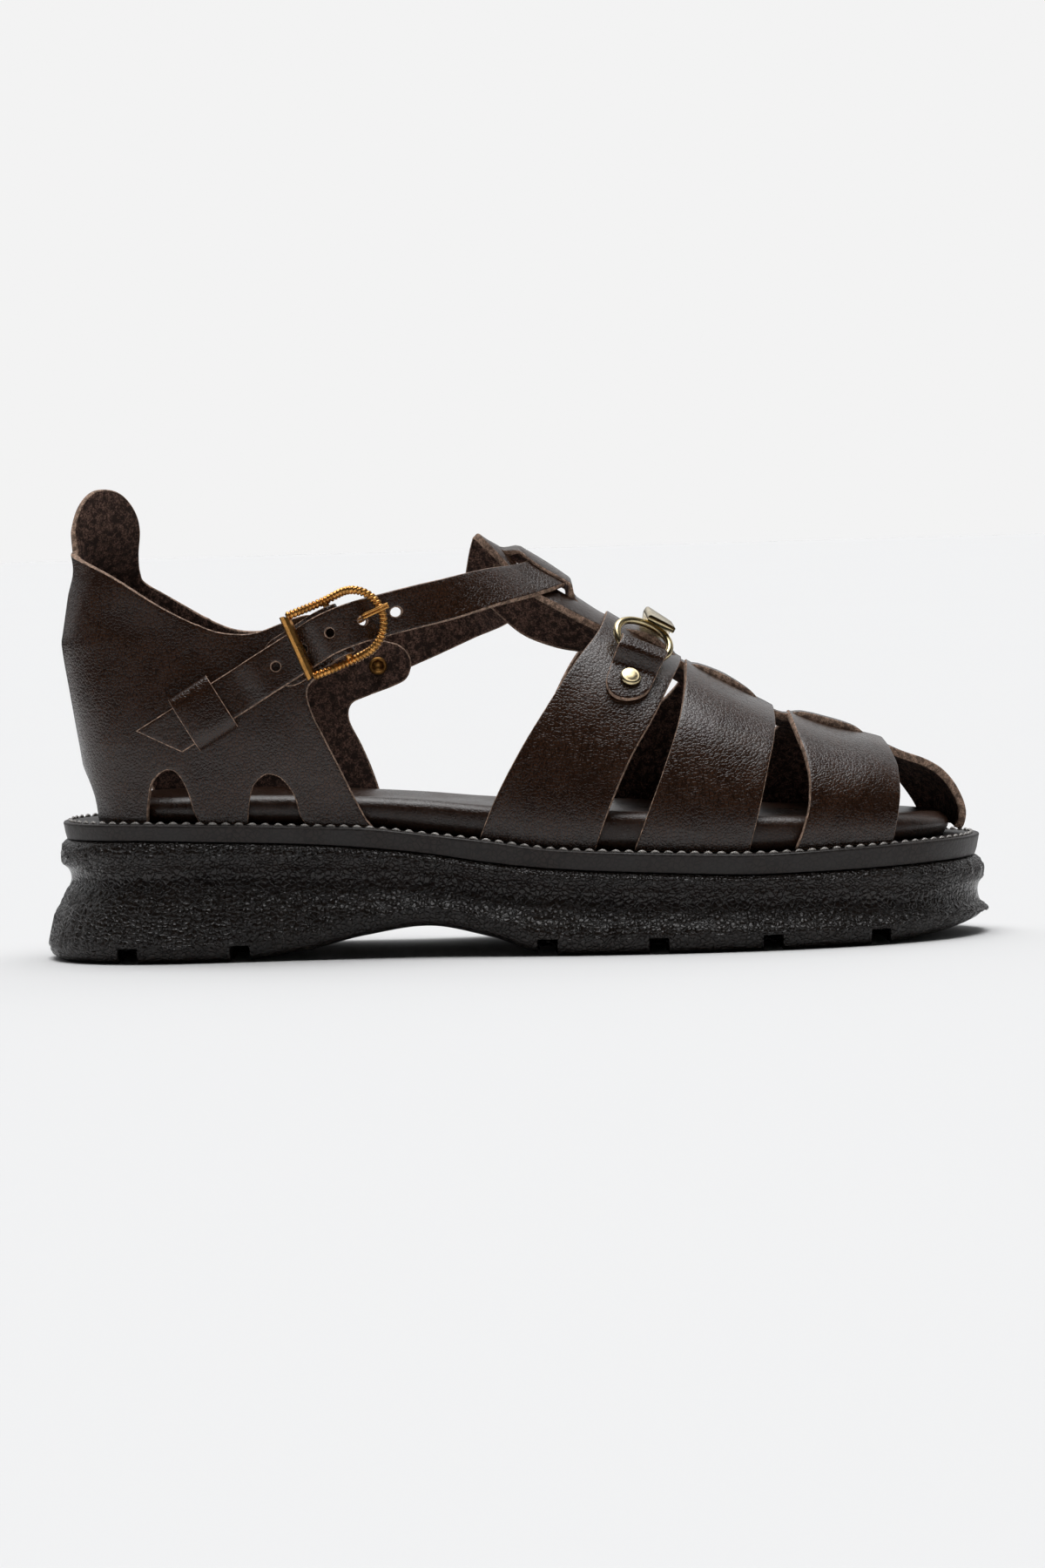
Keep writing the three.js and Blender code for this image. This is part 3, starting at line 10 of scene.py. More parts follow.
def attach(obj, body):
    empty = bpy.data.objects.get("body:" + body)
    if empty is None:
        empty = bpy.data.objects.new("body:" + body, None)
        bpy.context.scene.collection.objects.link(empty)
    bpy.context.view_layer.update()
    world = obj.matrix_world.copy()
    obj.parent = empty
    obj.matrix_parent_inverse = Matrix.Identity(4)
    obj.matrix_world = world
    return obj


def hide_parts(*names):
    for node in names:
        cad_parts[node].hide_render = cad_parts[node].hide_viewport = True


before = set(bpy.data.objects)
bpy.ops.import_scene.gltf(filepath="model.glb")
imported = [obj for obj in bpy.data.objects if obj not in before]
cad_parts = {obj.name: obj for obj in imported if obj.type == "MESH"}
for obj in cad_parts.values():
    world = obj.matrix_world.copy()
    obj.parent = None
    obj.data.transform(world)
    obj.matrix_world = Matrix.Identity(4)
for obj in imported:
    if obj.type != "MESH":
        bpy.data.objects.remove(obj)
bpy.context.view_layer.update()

bl_info = {
    "name": "Cage sandal",
    "version": (1, 0, 0),
    "blender": (4, 5, 0),
    "location": "View3D > Sidebar > Sandal",
    "description": "Builds the leather, rubber and metal pieces of a cage sandal round its packed frame",
    "category": "Add Mesh",
}

MM = 0.001
BODY = "root"
GAP = 0.3

# Sizes in millimetres; +X runs to the toe, +Y to the inner side
HEEL_TIP = -135.2
TOE_TIP = 135.2
TOE_TIP_Y = 8.0
HEEL_CAP_X = -92.0
CAP_START = {"lateral": 48.0, "medial": 64.0}
HEEL_ROUND = 2.2
FOOTBED_HEEL_ROUND = 2.0
TOE_ROUND = 2.1
UPPER_INSET = 7.5
COUNTER_CAP_X = -88.0
COUNTER_ROUND = 2.4
COUNTER_BELLY = {"out": 1.6, "low": 40.0, "high": 100.0}
COUNTER_COLLAR_Z = 104.0
FOOT_TUCK = {"share": 0.035, "height": 14.0}
BAR_DISTANCE = 64.4
STRAP_WIDTH = 12.0
STRAP_THICK = 1.8
STRIP_THICK = 2.2
BRIDGE_THICK = 1.0
STRAP_TAIL_SLANT = 10.0
STRAP_HOLES = (-20.4, -11.1, -1.8, 8.2, 16.8)
STRAP_HOLE_RADIUS = 1.35
BUCKLE = {"length": 27.0, "width": 21.0, "left_bar": -11.6, "end_lift": 7.8, "bar_lift": 2.9}
WIRE_RADIUS = 1.2
BAR_RADIUS = 0.95
CHAPE = {"from": -24.0, "width": 14.8, "thick": 1.2}
CHAPE_SLOT = {"from": 21.4, "to": 29.9, "half": 1.4}
KEEPER = {"at": -44.6, "length": 12.4, "width": 17.4, "thick": 1.7, "height": 3.4}
PRONG = {"hole": 8.4, "tip": 16.8}
BIT_X = 35.6
RING = {
    "lateral": -13.6, "medial": 20.4, "half_length": 8.2, "half_width": 6.4, "lift": 3.6, "lean": 1.9,
    "bend": 0.35, "wire": 1.1,
}
LINK = {"x": 38.6, "width": 7.4, "thick": 2.0, "lift": 4.9, "end_lift": 7.4, "near": -10.4, "far": 17.4}
BIT_TAB = {"width": 12.2, "thick": 1.6, "wire_lift": 3.05, "rivet": 9.8, "bottom": 16.6, "from_ring": 4.4}
BIT_TAB_STEP = 0.25
EYELET = {"x": -39.5, "z": 80.2}
RIVET_RADIUS = 3.05
RIVET_DOME = 1.5
# The rivet from its foot to its crown: radius and height as shares of the whole
RIVET_PROFILE = (
    (0.86, 0), (0.97, 0.12), (1, 0.32), (0.97, 0.55), (0.88, 0.8), (0.78, 0.88), (0.7, 0.86), (0.5, 0.95),
    (0.25, 1),
)
# The strip's bridge over the strap: its sides as shares of the strip's width, its ends and the length of its
# ramps in rows of the strip, and how far it rises
BRIDGE = {"near": 0.24, "far": 0.655, "rear": 1.1, "front": 3.7, "ramp": 0.5, "lift": 3.5}
SLIT_HALF = 0.1
STITCH = {"half_run": 0.36, "rise": 0.34, "sink": 0.1, "radius": 0.54, "steps": 7}
PAST_SOLE = 70.0

# Sizes of the pieces while they lie flat: a band's width and its length over the foot, the centre strip's
# width and the number of columns it is worked out in, the keeper's length over the strap, and the counter's
# length for each degree of turn round the heel
BAND_WIDTH = 31.0
BAND_SPAN = 150.0
STRIP_WIDE = 23.0
STRIP_COLUMNS = 13
KEEPER_SPAN = 26.0
COUNTER_MM = 0.64

# A cut edge, ring by ring from the grain side to the flesh side: how far it is drawn in, the side it is
# measured from (0 grain, 1 flesh) and how deep it lies, the first and last in widths of the edge
EDGE_PROFILE = ((0.62, 0, 0.12), (0, 0, 0.8), (0, 1, -1), (0.29, 1, -0.29))

# The camera's roll and rise in degrees, and where it stands in millimetres
CAMERA = {"roll": 1.61, "rise": 3.0, "place": (1.826, -1697.67, 135.127)}
# Strengths of the studio's light: over the shoe, behind it, low in front of it, and all round
STUDIO = {"overhead": 5.6, "behind": 0.85, "low_front": 0.4, "all_round": 0.015}


class Table:
    """Rows of sizes that are read smoothly between the rows, with no overshoot."""

    def __init__(self, names, rows):
        self.names = names.split()
        self.rows = np.array(rows, float)

    def __call__(self, name, at):
        x = self.rows[:, 0]
        y = self.rows[:, self.names.index(name)]
        at = np.clip(np.asarray(at, float), x[0], x[-1])
        i = np.clip(np.searchsorted(x, at, side="right") - 1, 0, len(x) - 2)
        span = np.diff(x)
        slope = np.diff(y) / span
        tangent = np.concatenate([slope[:1], np.zeros(len(x) - 2), slope[-1:]])
        product = slope[:-1] * slope[1:]
        mean = 2 * product / np.where(np.abs(slope[:-1] + slope[1:]) < 1e-9, 1, slope[:-1] + slope[1:])
        tangent[1:-1] = np.where(product > 0, mean, 0)
        t = (at - x[i]) / span[i]
        rest = 1 - t
        return (y[i] * rest * rest * (1 + 2 * t) + y[i + 1] * t * t * (3 - 2 * t)
                + span[i] * tangent[i] * t * rest * rest - span[i] * tangent[i + 1] * t * t * rest)


SOLE_PLAN = Table("x lateral medial", [
    [-92, 37.5, 38.5], [-60, 37, 35.5], [-30, 38.5, 33], [0, 44, 36.5], [24, 48.4, 43.2],
    [48, 50, 48.8], [64, 50, 50],
])
SOLE_LEVELS = Table("x floor groove welt_low welt_top bed", [
    [-135, 0, 23.2, 34.6, 39.4, 43.6], [-110, 0, 23.8, 34.8, 39.3, 46.2],
    [-84, 0, 23.4, 33.9, 38.6, 46.4], [-60, 2.8, 22.6, 32.7, 37.5, 45.9],
    [-44, 6.4, 21.9, 31.4, 36.7, 45.1], [-26, 8.8, 20.6, 29.3, 34.5, 43.8],
    [-8, 5.4, 17.9, 26.4, 32.2, 41.9], [10, 0, 15.9, 24.4, 29.6, 40.7],
    [40, 0, 14.4, 22.6, 28.0, 39.0], [70, 0, 13.5, 21.4, 27.0, 37.1],
    [98, 0, 12.9, 21.7, 27.7, 36.0], [118, 1.8, 12.2, 22.2, 28.2, 35.2],
    [136, 5.0, 11.4, 22.6, 28.4, 33.0],
])
TREAD_RECESSES = (-110.8, -79.0, 7.6, 38.8, 70.8, 101.5)
RECESS = {"width": 5.6, "height": 4.6, "depth": 15.0, "channel": 1.8}
LAST = Table("x ridge ridge_y rise lateral medial", [
    [-18, 124.4, 5, 1.7, 1.6, 1.5], [0, 112.6, 5, 1.7, 1.6, 1.5], [14, 103.2, 4, 1.75, 1.66, 1.56],
    [28, 95.0, 4, 1.85, 1.8, 1.7], [43, 84.8, 4, 1.95, 1.95, 1.85], [58, 75.8, 3, 2.1, 2.1, 2.0],
    [74, 67.2, 3, 2.2, 2.2, 2.15], [90, 60.9, 4, 2.3, 2.3, 2.3], [104, 57.2, 5, 2.3, 2.3, 2.3],
    [116, 52.4, 6, 2.3, 2.3, 2.3],
])
# The bands seen from the outer side: where the rear edge and the front edge stand at each height. On the
# inner side both edges are moved along the foot, fully below the height "full" and not at all above "none"
BANDS = {
    "rear": (
        Table("z x", [[27, -13], [42.6, -6.7], [57.8, 1.6], [69.5, 9.2], [82.2, 18.1], [91.5, 25.6],
                      [100, 29.5]]),
        Table("z x", [[25, 20.4], [39, 25.3], [54.6, 32.4], [66.9, 40], [75.2, 44.7], [81.2, 48.5],
                      [90, 52]]),
        {"rear": 3, "front": -9, "full": 60, "none": 84},
    ),
    "middle": (
        Table("z x", [[25, 31.2], [42.2, 37.9], [51.4, 41.6], [66.7, 47], [76.7, 49.2], [88, 50.4]]),
        Table("z x", [[24, 64], [41.3, 68.7], [52.2, 71.5], [60.2, 73.7], [65, 74.3], [78, 74]]),
        {"rear": -10, "front": -9, "full": 58, "none": 77},
    ),
    "front": (
        Table("z x", [[22, 75.6], [33.5, 80.5], [40.9, 82.4], [47.4, 82.8], [53.4, 82], [61.5, 79.7],
                      [72, 77]]),
        Table("z x", [[24, 105], [36.8, 107.9], [43.9, 108.8], [49, 108.7], [53.8, 107.2], [58.8, 104.5],
                      [68, 100.5]]),
        {"rear": -12, "front": 0, "full": 50, "none": 66},
    ),
}
# The centre strip from above, row by row: its near edge, its far edge and how far it stands off the last
STRIP_OVER_LAST = np.array([
    [-7.8, 2.5, -13.2, 15, 0], [-2, -1.8, -6, 16.5, 0], [6, -7.6, 3, 18.5, 0], [14, -9, 12, 19.5, 0],
    [22, -9, 20, 20, -1.0], [28, -8, 27, 20, -1.4], [34, -5.5, 33, 20, 0.6], [39, -4, 38, 20, 1.9],
    [44, -3, 43.5, 20, 1.2], [49, -3, 49, 20, -0.6], [53.5, -2.6, 53.5, 20, 0.9], [60, -2.2, 60, 20, 1.7],
    [67, -2, 67, 20, 1.1], [72, -2, 72, 20, -0.9], [77.5, -2, 77.5, 20, -1.0], [82, -2, 82, 20, 1.2],
    [90, -1.5, 90, 20.5, 1.9], [97, -1, 97, 21, 1.3], [102, -1, 102, 21.5, -0.9],
    [106.5, -1, 105.5, 22, -1.4],
])
# The strip's toe end: near edge, far edge, and how far its middle bows out
STRIP_TOE = np.array([
    [111.8, -0.7, 52.3, 109, 23.6, 48.4, 1.6], [117.3, -0.3, 50.2, 112.2, 25.2, 44.3, 2.2],
    [122.3, 0.5, 47.2, 115.0, 26.6, 40.2, 2.6], [126.0, 1.4, 43.1, 117.2, 27.6, 36.6, 2.8],
    [128.3, 2.2, 38.6, 118.6, 28.0, 33.6, 2.8], [129.2, 2.8, 34.6, 119.3, 28.0, 31.6, 2.6],
    [128.7, 3.2, 31.2, 119.4, 27.8, 30.2, 2.8], [127.6, 3.4, 28.8, 119.2, 27.4, 28.8, 2.8],
])
COUNTER_BACK = Table("z x", [
    [36, -121.4], [48, -122.9], [63.5, -125.2], [77, -127.2], [88.5, -128.8], [90.5, -129.0], [92.5, -128.7],
    [103, -126.9], [115, -124.6], [138, -124.4],
])
COUNTER_COLLAR = Table("x lateral medial", [
    [-92, 26, 26], [-60, 28, 28], [-36, 30.5, 31.5], [-20, 31, 32.5],
])
# The pull tab is flat: over a height it leaves the round heel for the straight line between two places,
# each given with its turn round the heel
TAB_LINE = {"start": (-125.4, -3.5, -12), "end": (-107.6, 12, 59), "fade": 26, "low": 104, "high": 124}
# The counter's upper edge seen from the side: the outer side, then the pull tab and the inner side
COUNTER_LATERAL = [
    (-124, 114.7), (-112.5, 109), (-98.3, 100), (-85.3, 93.7), (-77.4, 92.2), (-71.8, 92.6), (-65.8, 94.6),
    (-58, 97), (-51.5, 95.5), (-49.5, 89), (-54, 81), (-58.1, 76.2), (-57, 69.5), (-53.7, 62.2),
    (-49.3, 52.9), (-45.6, 44.9), (-42.5, 38.9),
]
COUNTER_MEDIAL = [
    (-125.3, 116.5), (-125.3, 122.1), (-123.6, 128.4), (-120.6, 132.6), (-117, 133.9), (-112.6, 132.6),
    (-109.2, 128.4), (-107.6, 122.9), (-108, 115.6), (-107.8, 110.4), (-106, 106.6), (-97.7, 101.3),
    (-85.7, 94.3), (-78, 91.8), (-68, 91.6), (-52, 91), (-36.1, 87.2), (-32.7, 85.9), (-30.4, 83.4),
    (-29.7, 80.4), (-31.1, 76.4), (-35, 74.2), (-42.7, 71.5), (-47.4, 69.3), (-48.1, 64.7),
    (-44.7, 57.5), (-41.8, 50.5), (-39, 42),
]
COUNTER_ARCHES = {
    "lateral": [
        {"left": -104.2, "right": -91.2, "top": 54.4, "crest": -97.8},
        {"left": -75.6, "right": -61.2, "top": 52.4, "crest": -69.6},
    ],
    "medial": [
        {"left": -117.0, "right": -105.4, "top": 54.4, "crest": -111.4},
        {"left": -92.4, "right": -79.4, "top": 53.0, "crest": -86.4},
    ],
}
HEEL_ARCH = {"half": 15.0, "top": 56.0, "rise": 12.0, "floor_x": -124.0}
# Where the counter's lower edge rests on the welt, in the order in which its outline passes
COUNTER_FRONT = {"lateral": -40.6, "medial": -37.6}
COUNTER_FEET = {
    "medial": [(-48, -55, -66, -74), (-96, -101)],
    "lateral": [(-117, -112), (-86, -80), (-55, -48)],
}
# What the strap lies over, from its tail: a place on the counter seen from the side, on the last seen from
# above, or in the air between them
STRAP_SEAT = [
    ("lateral", -104.2, 60.0), ("lateral", -92, 67.3), ("lateral", -81.5, 73.6), ("lateral", -70, 80.3),
    ("lateral", -60, 86.2), ("lateral", -50, 91.6), ("lateral", -41, 95.0), ("lateral", -32, 97.3),
    ("air", -18, -25.5, 99.8), ("air", -7, -17.5, 102.0), ("last", 3.5, -7.5), ("last", 10, 0.5),
    ("last", 8, 8), ("last", 2, 13.5), ("last", -4.5, 16.8), ("air", -14, 27.5, 92.6),
    ("medial", -24, 88.5), ("medial", -32, 85.2), ("medial", -39.5, 81.9), ("medial", -47, 78.6),
]
# How far the strap's underside stands off its seat, by distance from the buckle's centre bar
STRAP_LIFT = Table("at lift", [
    [-75, 1.5], [-33, 1.5], [-25.5, 3.0], [-19, 3.1], [-13.7, 3.6], [-9, 4.9], [-4, 6.7], [3, 6.9],
    [7.5, 5.9], [11.5, 4.05], [15, 3.7], [24, 2.4], [34, 1.9], [52, 1.75], [66, 1.7], [82, 2.0], [220, 1.6],
])


# Shape of the sole, the last and the counter

def smooth(start, end, at):
    t = np.clip((np.asarray(at, float) - start) / (end - start), 0, 1)
    return t * t * (3 - 2 * t)


def mix(a, b, t):
    return a + (b - a) * t


def half_width(side, x, inset=0.0, heel_tip=HEEL_TIP, toe_tip=TOE_TIP, heel_round=HEEL_ROUND):
    """Half width of the sole on one side, drawn in by an inset between its own tips."""
    x = np.asarray(x, float)
    start = CAP_START[side]
    sign = 1 if side == "medial" else -1
    t = np.clip((HEEL_CAP_X - x) / (HEEL_CAP_X - heel_tip), 0, 1)
    heel = (SOLE_PLAN(side, HEEL_CAP_X) - inset) * (1 - t ** heel_round) ** (1 / heel_round)
    t = np.clip((x - start) / (toe_tip - start), 0, 1)
    rounded = (1 - t ** TOE_ROUND) ** (1 / TOE_ROUND)
    toe = (SOLE_PLAN(side, start) - inset) * rounded + sign * TOE_TIP_Y * (1 - rounded)
    return np.where(x < HEEL_CAP_X, heel, np.where(x > start, toe, SOLE_PLAN(side, x) - inset))


def last_floor(x):
    return SOLE_LEVELS("welt_top", x) + GAP


def last_reach(side, x):
    edge = half_width(side, x, UPPER_INSET)
    return edge + LAST("ridge_y", x) * (1 if side == "lateral" else -1)


def last_height(x, y):
    from_ridge = np.asarray(y, float) - LAST("ridge_y", x)
    rise = LAST("rise", x)
    floor = last_floor(x)
    height = []
    for side in ("lateral", "medial"):
        t = np.clip(np.abs(from_ridge) / last_reach(side, x), 0, 1)
        height.append(floor + (LAST("ridge", x) - floor) * (1 - t ** LAST(side, x)) ** (1 / rise))
    return np.where(from_ridge < 0, height[0], height[1])


def unit(v):
    return v / np.maximum(np.linalg.norm(v, axis=-1, keepdims=True), 1e-12)


def run_length(line):
    """How far along a line each of its points lies."""
    return np.concatenate([[0], np.cumsum(np.linalg.norm(np.diff(line, axis=0), axis=1))])


def on_last(x, y, lift=0.0):
    """Points on the last and the way out of it there."""
    step = 0.5
    slope_x = (last_height(x + step, y) - last_height(x - step, y)) / (2 * step)
    slope_y = (last_height(x, y + step) - last_height(x, y - step)) / (2 * step)
    normal = unit(np.stack([-slope_x, -slope_y, np.ones_like(slope_x)], -1))
    point = np.stack(np.broadcast_arrays(x, y, last_height(x, y)), -1)
    return point + normal * np.asarray(lift, float)[..., None], normal


def last_section(x, turn):
    """A point of the section at x: turn runs from 0 at the lateral welt to pi at the medial welt."""
    floor = last_floor(x)
    tall = LAST("ridge", x) - floor
    cos = np.cos(turn)
    out = np.where(
        cos > 0,
        np.abs(cos) ** (2 / LAST("lateral", x)) * last_reach("lateral", x),
        np.abs(cos) ** (2 / LAST("medial", x)) * last_reach("medial", x),
    )
    up = (np.sin(turn) ** 2) ** (1 / LAST("rise", x))
    tuck = 1 - FOOT_TUCK["share"] * np.clip(1 - up * tall / FOOT_TUCK["height"], 0, None) ** 2
    return np.stack([x, LAST("ridge_y", x) - np.sign(cos) * out * tuck, floor + up * tall], -1)


def counter_half(side, x, z):
    base = half_width(side, np.maximum(x, COUNTER_CAP_X), UPPER_INSET)
    low = COUNTER_BELLY["low"]
    belly = COUNTER_BELLY["out"] * np.sin(np.pi * smooth(low, COUNTER_BELLY["high"], z))
    return mix(base, COUNTER_COLLAR(side, x), smooth(low, COUNTER_COLLAR_Z, z)) + belly


def counter_wrap(turn, z):
    """The counter's outer face: turn runs from the lateral front, round the heel, to the medial front."""
    turn, z = np.broadcast_arrays(np.asarray(turn, float), np.asarray(z, float))
    sign = np.where(turn < 0, -1.0, 1.0)
    cap = np.clip(turn, -90, 90)
    beyond = np.maximum(np.abs(turn) - 90, 0)
    x = COUNTER_CAP_X + beyond
    half = np.where(turn < 0, counter_half("lateral", x, z), counter_half("medial", x, z))
    back = COUNTER_BACK("x", z)
    power = 2 / COUNTER_ROUND
    round_x = COUNTER_CAP_X - (COUNTER_CAP_X - back) * np.cos(np.radians(cap)) ** power
    wrapped = np.stack([
        np.where(beyond > 0, x, round_x),
        sign * half * np.where(beyond > 0, 1, np.abs(np.sin(np.radians(cap))) ** power),
        z,
    ], -1)
    (x0, y0, a0), (x1, y1, a1) = TAB_LINE["start"], TAB_LINE["end"]
    along = (cap - a0) / (a1 - a0)
    straight = np.stack([mix(x0, x1, along), mix(y0, y1, along), z], -1)
    fade = TAB_LINE["fade"]
    share = smooth(TAB_LINE["low"], TAB_LINE["high"], z) * smooth(a0 - fade, a0, cap)
    share = share * (1 - smooth(a1, a1 + fade, cap)) * (beyond <= 0)
    return mix(wrapped, straight, share[..., None])


def on_counter(side, x, z):
    """A point of the counter at a place seen from the side, and the way out of it there."""
    sign = -1.0 if side == "lateral" else 1.0

    def width(at_x, at_z):
        if at_x >= COUNTER_CAP_X:
            return sign * counter_half(side, at_x, at_z)
        t = np.clip((COUNTER_CAP_X - at_x) / (COUNTER_CAP_X - COUNTER_BACK("x", at_z)), 0, 1)
        share = (1 - t ** COUNTER_ROUND) ** (1 / COUNTER_ROUND)
        return sign * counter_half(side, COUNTER_CAP_X, at_z) * share

    step = 0.5
    along_x = np.array([2 * step, width(x + step, z) - width(x - step, z), 0])
    along_z = np.array([0, width(x, z + step) - width(x, z - step), 2 * step])
    normal = unit(np.cross(along_x, along_z)) * (1 if side == "lateral" else -1)
    return np.array([x, width(x, z), z], float), normal


# The strap's seat

def catmull(points, t, centripetal=False):
    """A curve through the points; t is the point's number, with the share of the way to the next."""
    points = np.asarray(points, float)
    ends = np.concatenate([[2 * points[0] - points[1]], points, [2 * points[-1] - points[-2]]])
    i = np.clip(np.floor(t).astype(int), 0, len(points) - 2)
    w = (t - i)[:, None]
    p0, p1, p2, p3 = ends[i], ends[i + 1], ends[i + 2], ends[i + 3]
    if centripetal:
        steps = ((p0, p1), (p1, p2), (p2, p3))
        d0, d1, d2 = (np.linalg.norm(b - a, axis=-1, keepdims=True) ** 0.5 for a, b in steps)
        t1 = ((p1 - p0) / d0 - (p2 - p0) / (d0 + d1) + (p2 - p1) / d1) * d1
        t2 = ((p2 - p1) / d1 - (p3 - p1) / (d1 + d2) + (p3 - p2) / d2) * d1
    else:
        t1, t2 = (p2 - p0) / 2, (p3 - p1) / 2
    return p1 + t1 * w + (-3 * p1 + 3 * p2 - 2 * t1 - t2) * w ** 2 + (2 * p1 - 2 * p2 + t1 + t2) * w ** 3


def strap_seat():
    points, normals = [], []
    for kind, *where in STRAP_SEAT:
        if kind == "last":
            point, normal = on_last(np.array([where[0]], float), np.array([where[1]], float))
            points.append(point[0])
            normals.append(normal[0])
        elif kind == "air":
            points.append(np.array(where, float))
            normals.append(None)
        else:
            point, normal = on_counter(kind, *where)
            points.append(point)
            normals.append(normal)
    known = [k for k, normal in enumerate(normals) if normal is not None]
    filled = []
    for k, normal in enumerate(normals):
        if normal is None:
            before = max(m for m in known if m < k)
            after = min(m for m in known if m > k)
            normal = unit(mix(normals[before], normals[after], (k - before) / (after - before)))
        filled.append(normal)
    t = np.linspace(0, len(points) - 1, 3001)
    line = catmull(points, t, centripetal=True)
    return {"line": line, "length": run_length(line), "normal": catmull(filled, t)}


SEAT = strap_seat()
SEAT_LENGTH = SEAT["length"][-1]


def seat_frame(distance):
    """Point, way along, way across and way out on the strap's seat, from the buckle's centre bar."""
    reach = np.clip(np.asarray(distance, float) + BAR_DISTANCE, 0, SEAT_LENGTH)

    def read(values, at):
        return np.stack([np.interp(at, SEAT["length"], values[:, k]) for k in range(3)], -1)

    point = read(SEAT["line"], reach)
    step = 0.3
    along = unit(read(SEAT["line"], reach + step) - read(SEAT["line"], reach - step))
    normal = read(SEAT["normal"], reach)
    normal = unit(normal - along * np.sum(normal * along, -1, keepdims=True))
    return point, along, np.cross(normal, along), normal


def seat_point(distance, across, lift):
    point, _, side, normal = seat_frame(distance)
    return point + side * np.asarray(across, float)[..., None] + normal * np.asarray(lift, float)[..., None]


# Pieces cut from hide

def resample(loop, step):
    """Adds points to a closed outline so that none are further apart than the step."""
    loop = np.asarray(loop, float)
    out = []
    for a, b in zip(loop, np.roll(loop, -1, axis=0)):
        count = max(1, int(math.ceil(np.linalg.norm(b - a) / step)))
        out.extend(mix(a, b, k / count) for k in range(count))
    return np.array(out)


def signed_area(loop):
    nxt = np.roll(loop, -1, axis=0)
    return 0.5 * np.sum(loop[:, 0] * nxt[:, 1] - nxt[:, 0] * loop[:, 1])


def inward(loop):
    """The way into the material at each point of an outline that keeps it on its left."""
    before = unit(loop - np.roll(loop, 1, axis=0))
    after = unit(np.roll(loop, -1, axis=0) - loop)
    normal = unit(np.stack([-(before + after)[:, 1], (before + after)[:, 0]], -1))
    bend = np.sum(normal * np.stack([-after[:, 1], after[:, 0]], -1), -1)
    return normal / np.clip(bend, 0.6, 1)[:, None]


def inside(points, loops):
    """Which points lie in the material between the outlines."""
    hit = np.zeros(len(points), bool)
    for loop in loops:
        for (ax, ay), (bx, by) in zip(loop, np.roll(loop, -1, axis=0)):
            if ay == by:
                continue
            crosses = (ay > points[:, 1]) != (by > points[:, 1])
            hit ^= crosses & (points[:, 0] < (bx - ax) * (points[:, 1] - ay) / (by - ay) + ax)
    return hit


def nearest(points, marks):
    """Distance of each point from the nearest mark."""
    out = np.empty(len(points))
    for k in range(0, len(points), 4000):
        part = points[k:k + 4000]
        out[k:k + 4000] = np.sqrt(np.min(np.sum((part[:, None] - marks[None]) ** 2, -1), 1))
    return out


def numeric_normals(surface, flat, step=0.35):
    along = surface(flat + [step, 0]) - surface(flat - [step, 0])
    across = surface(flat + [0, step]) - surface(flat - [0, step])
    return unit(np.cross(along, across))


def as_place(surface, flip=1):
    """Turns a surface over flat millimetres into one that gives its points and the way out."""
    return lambda flat: (surface(flat), flip * numeric_normals(surface, flat))


def wobble(points, size, seed):
    """A slow, even unevenness over space, between -1 and 1."""
    rng = np.random.default_rng(seed)
    total = np.zeros(len(points))
    for _ in range(7):
        direction = unit(rng.normal(size=3)) * rng.uniform(0.6, 1.5) * 2 * np.pi / size
        total += np.sin(points @ direction + rng.uniform(0, 2 * np.pi))
    return total / 4.0


def make_object(name, points, faces, materials, face_material=None):
    """A smooth mesh object from points in millimetres."""
    mesh = bpy.data.meshes.new(name)
    mesh.from_pydata((np.asarray(points) * MM).tolist(), [], [tuple(f) for f in faces])
    for material in materials:
        mesh.materials.append(material)
    mesh.polygons.foreach_set("use_smooth", np.ones(len(mesh.polygons), bool))
    if face_material is not None:
        mesh.polygons.foreach_set("material_index", np.asarray(face_material, np.int32))
    mesh.update()
    obj = bpy.data.objects.new(name, mesh)
    bpy.context.scene.collection.objects.link(obj)
    return obj


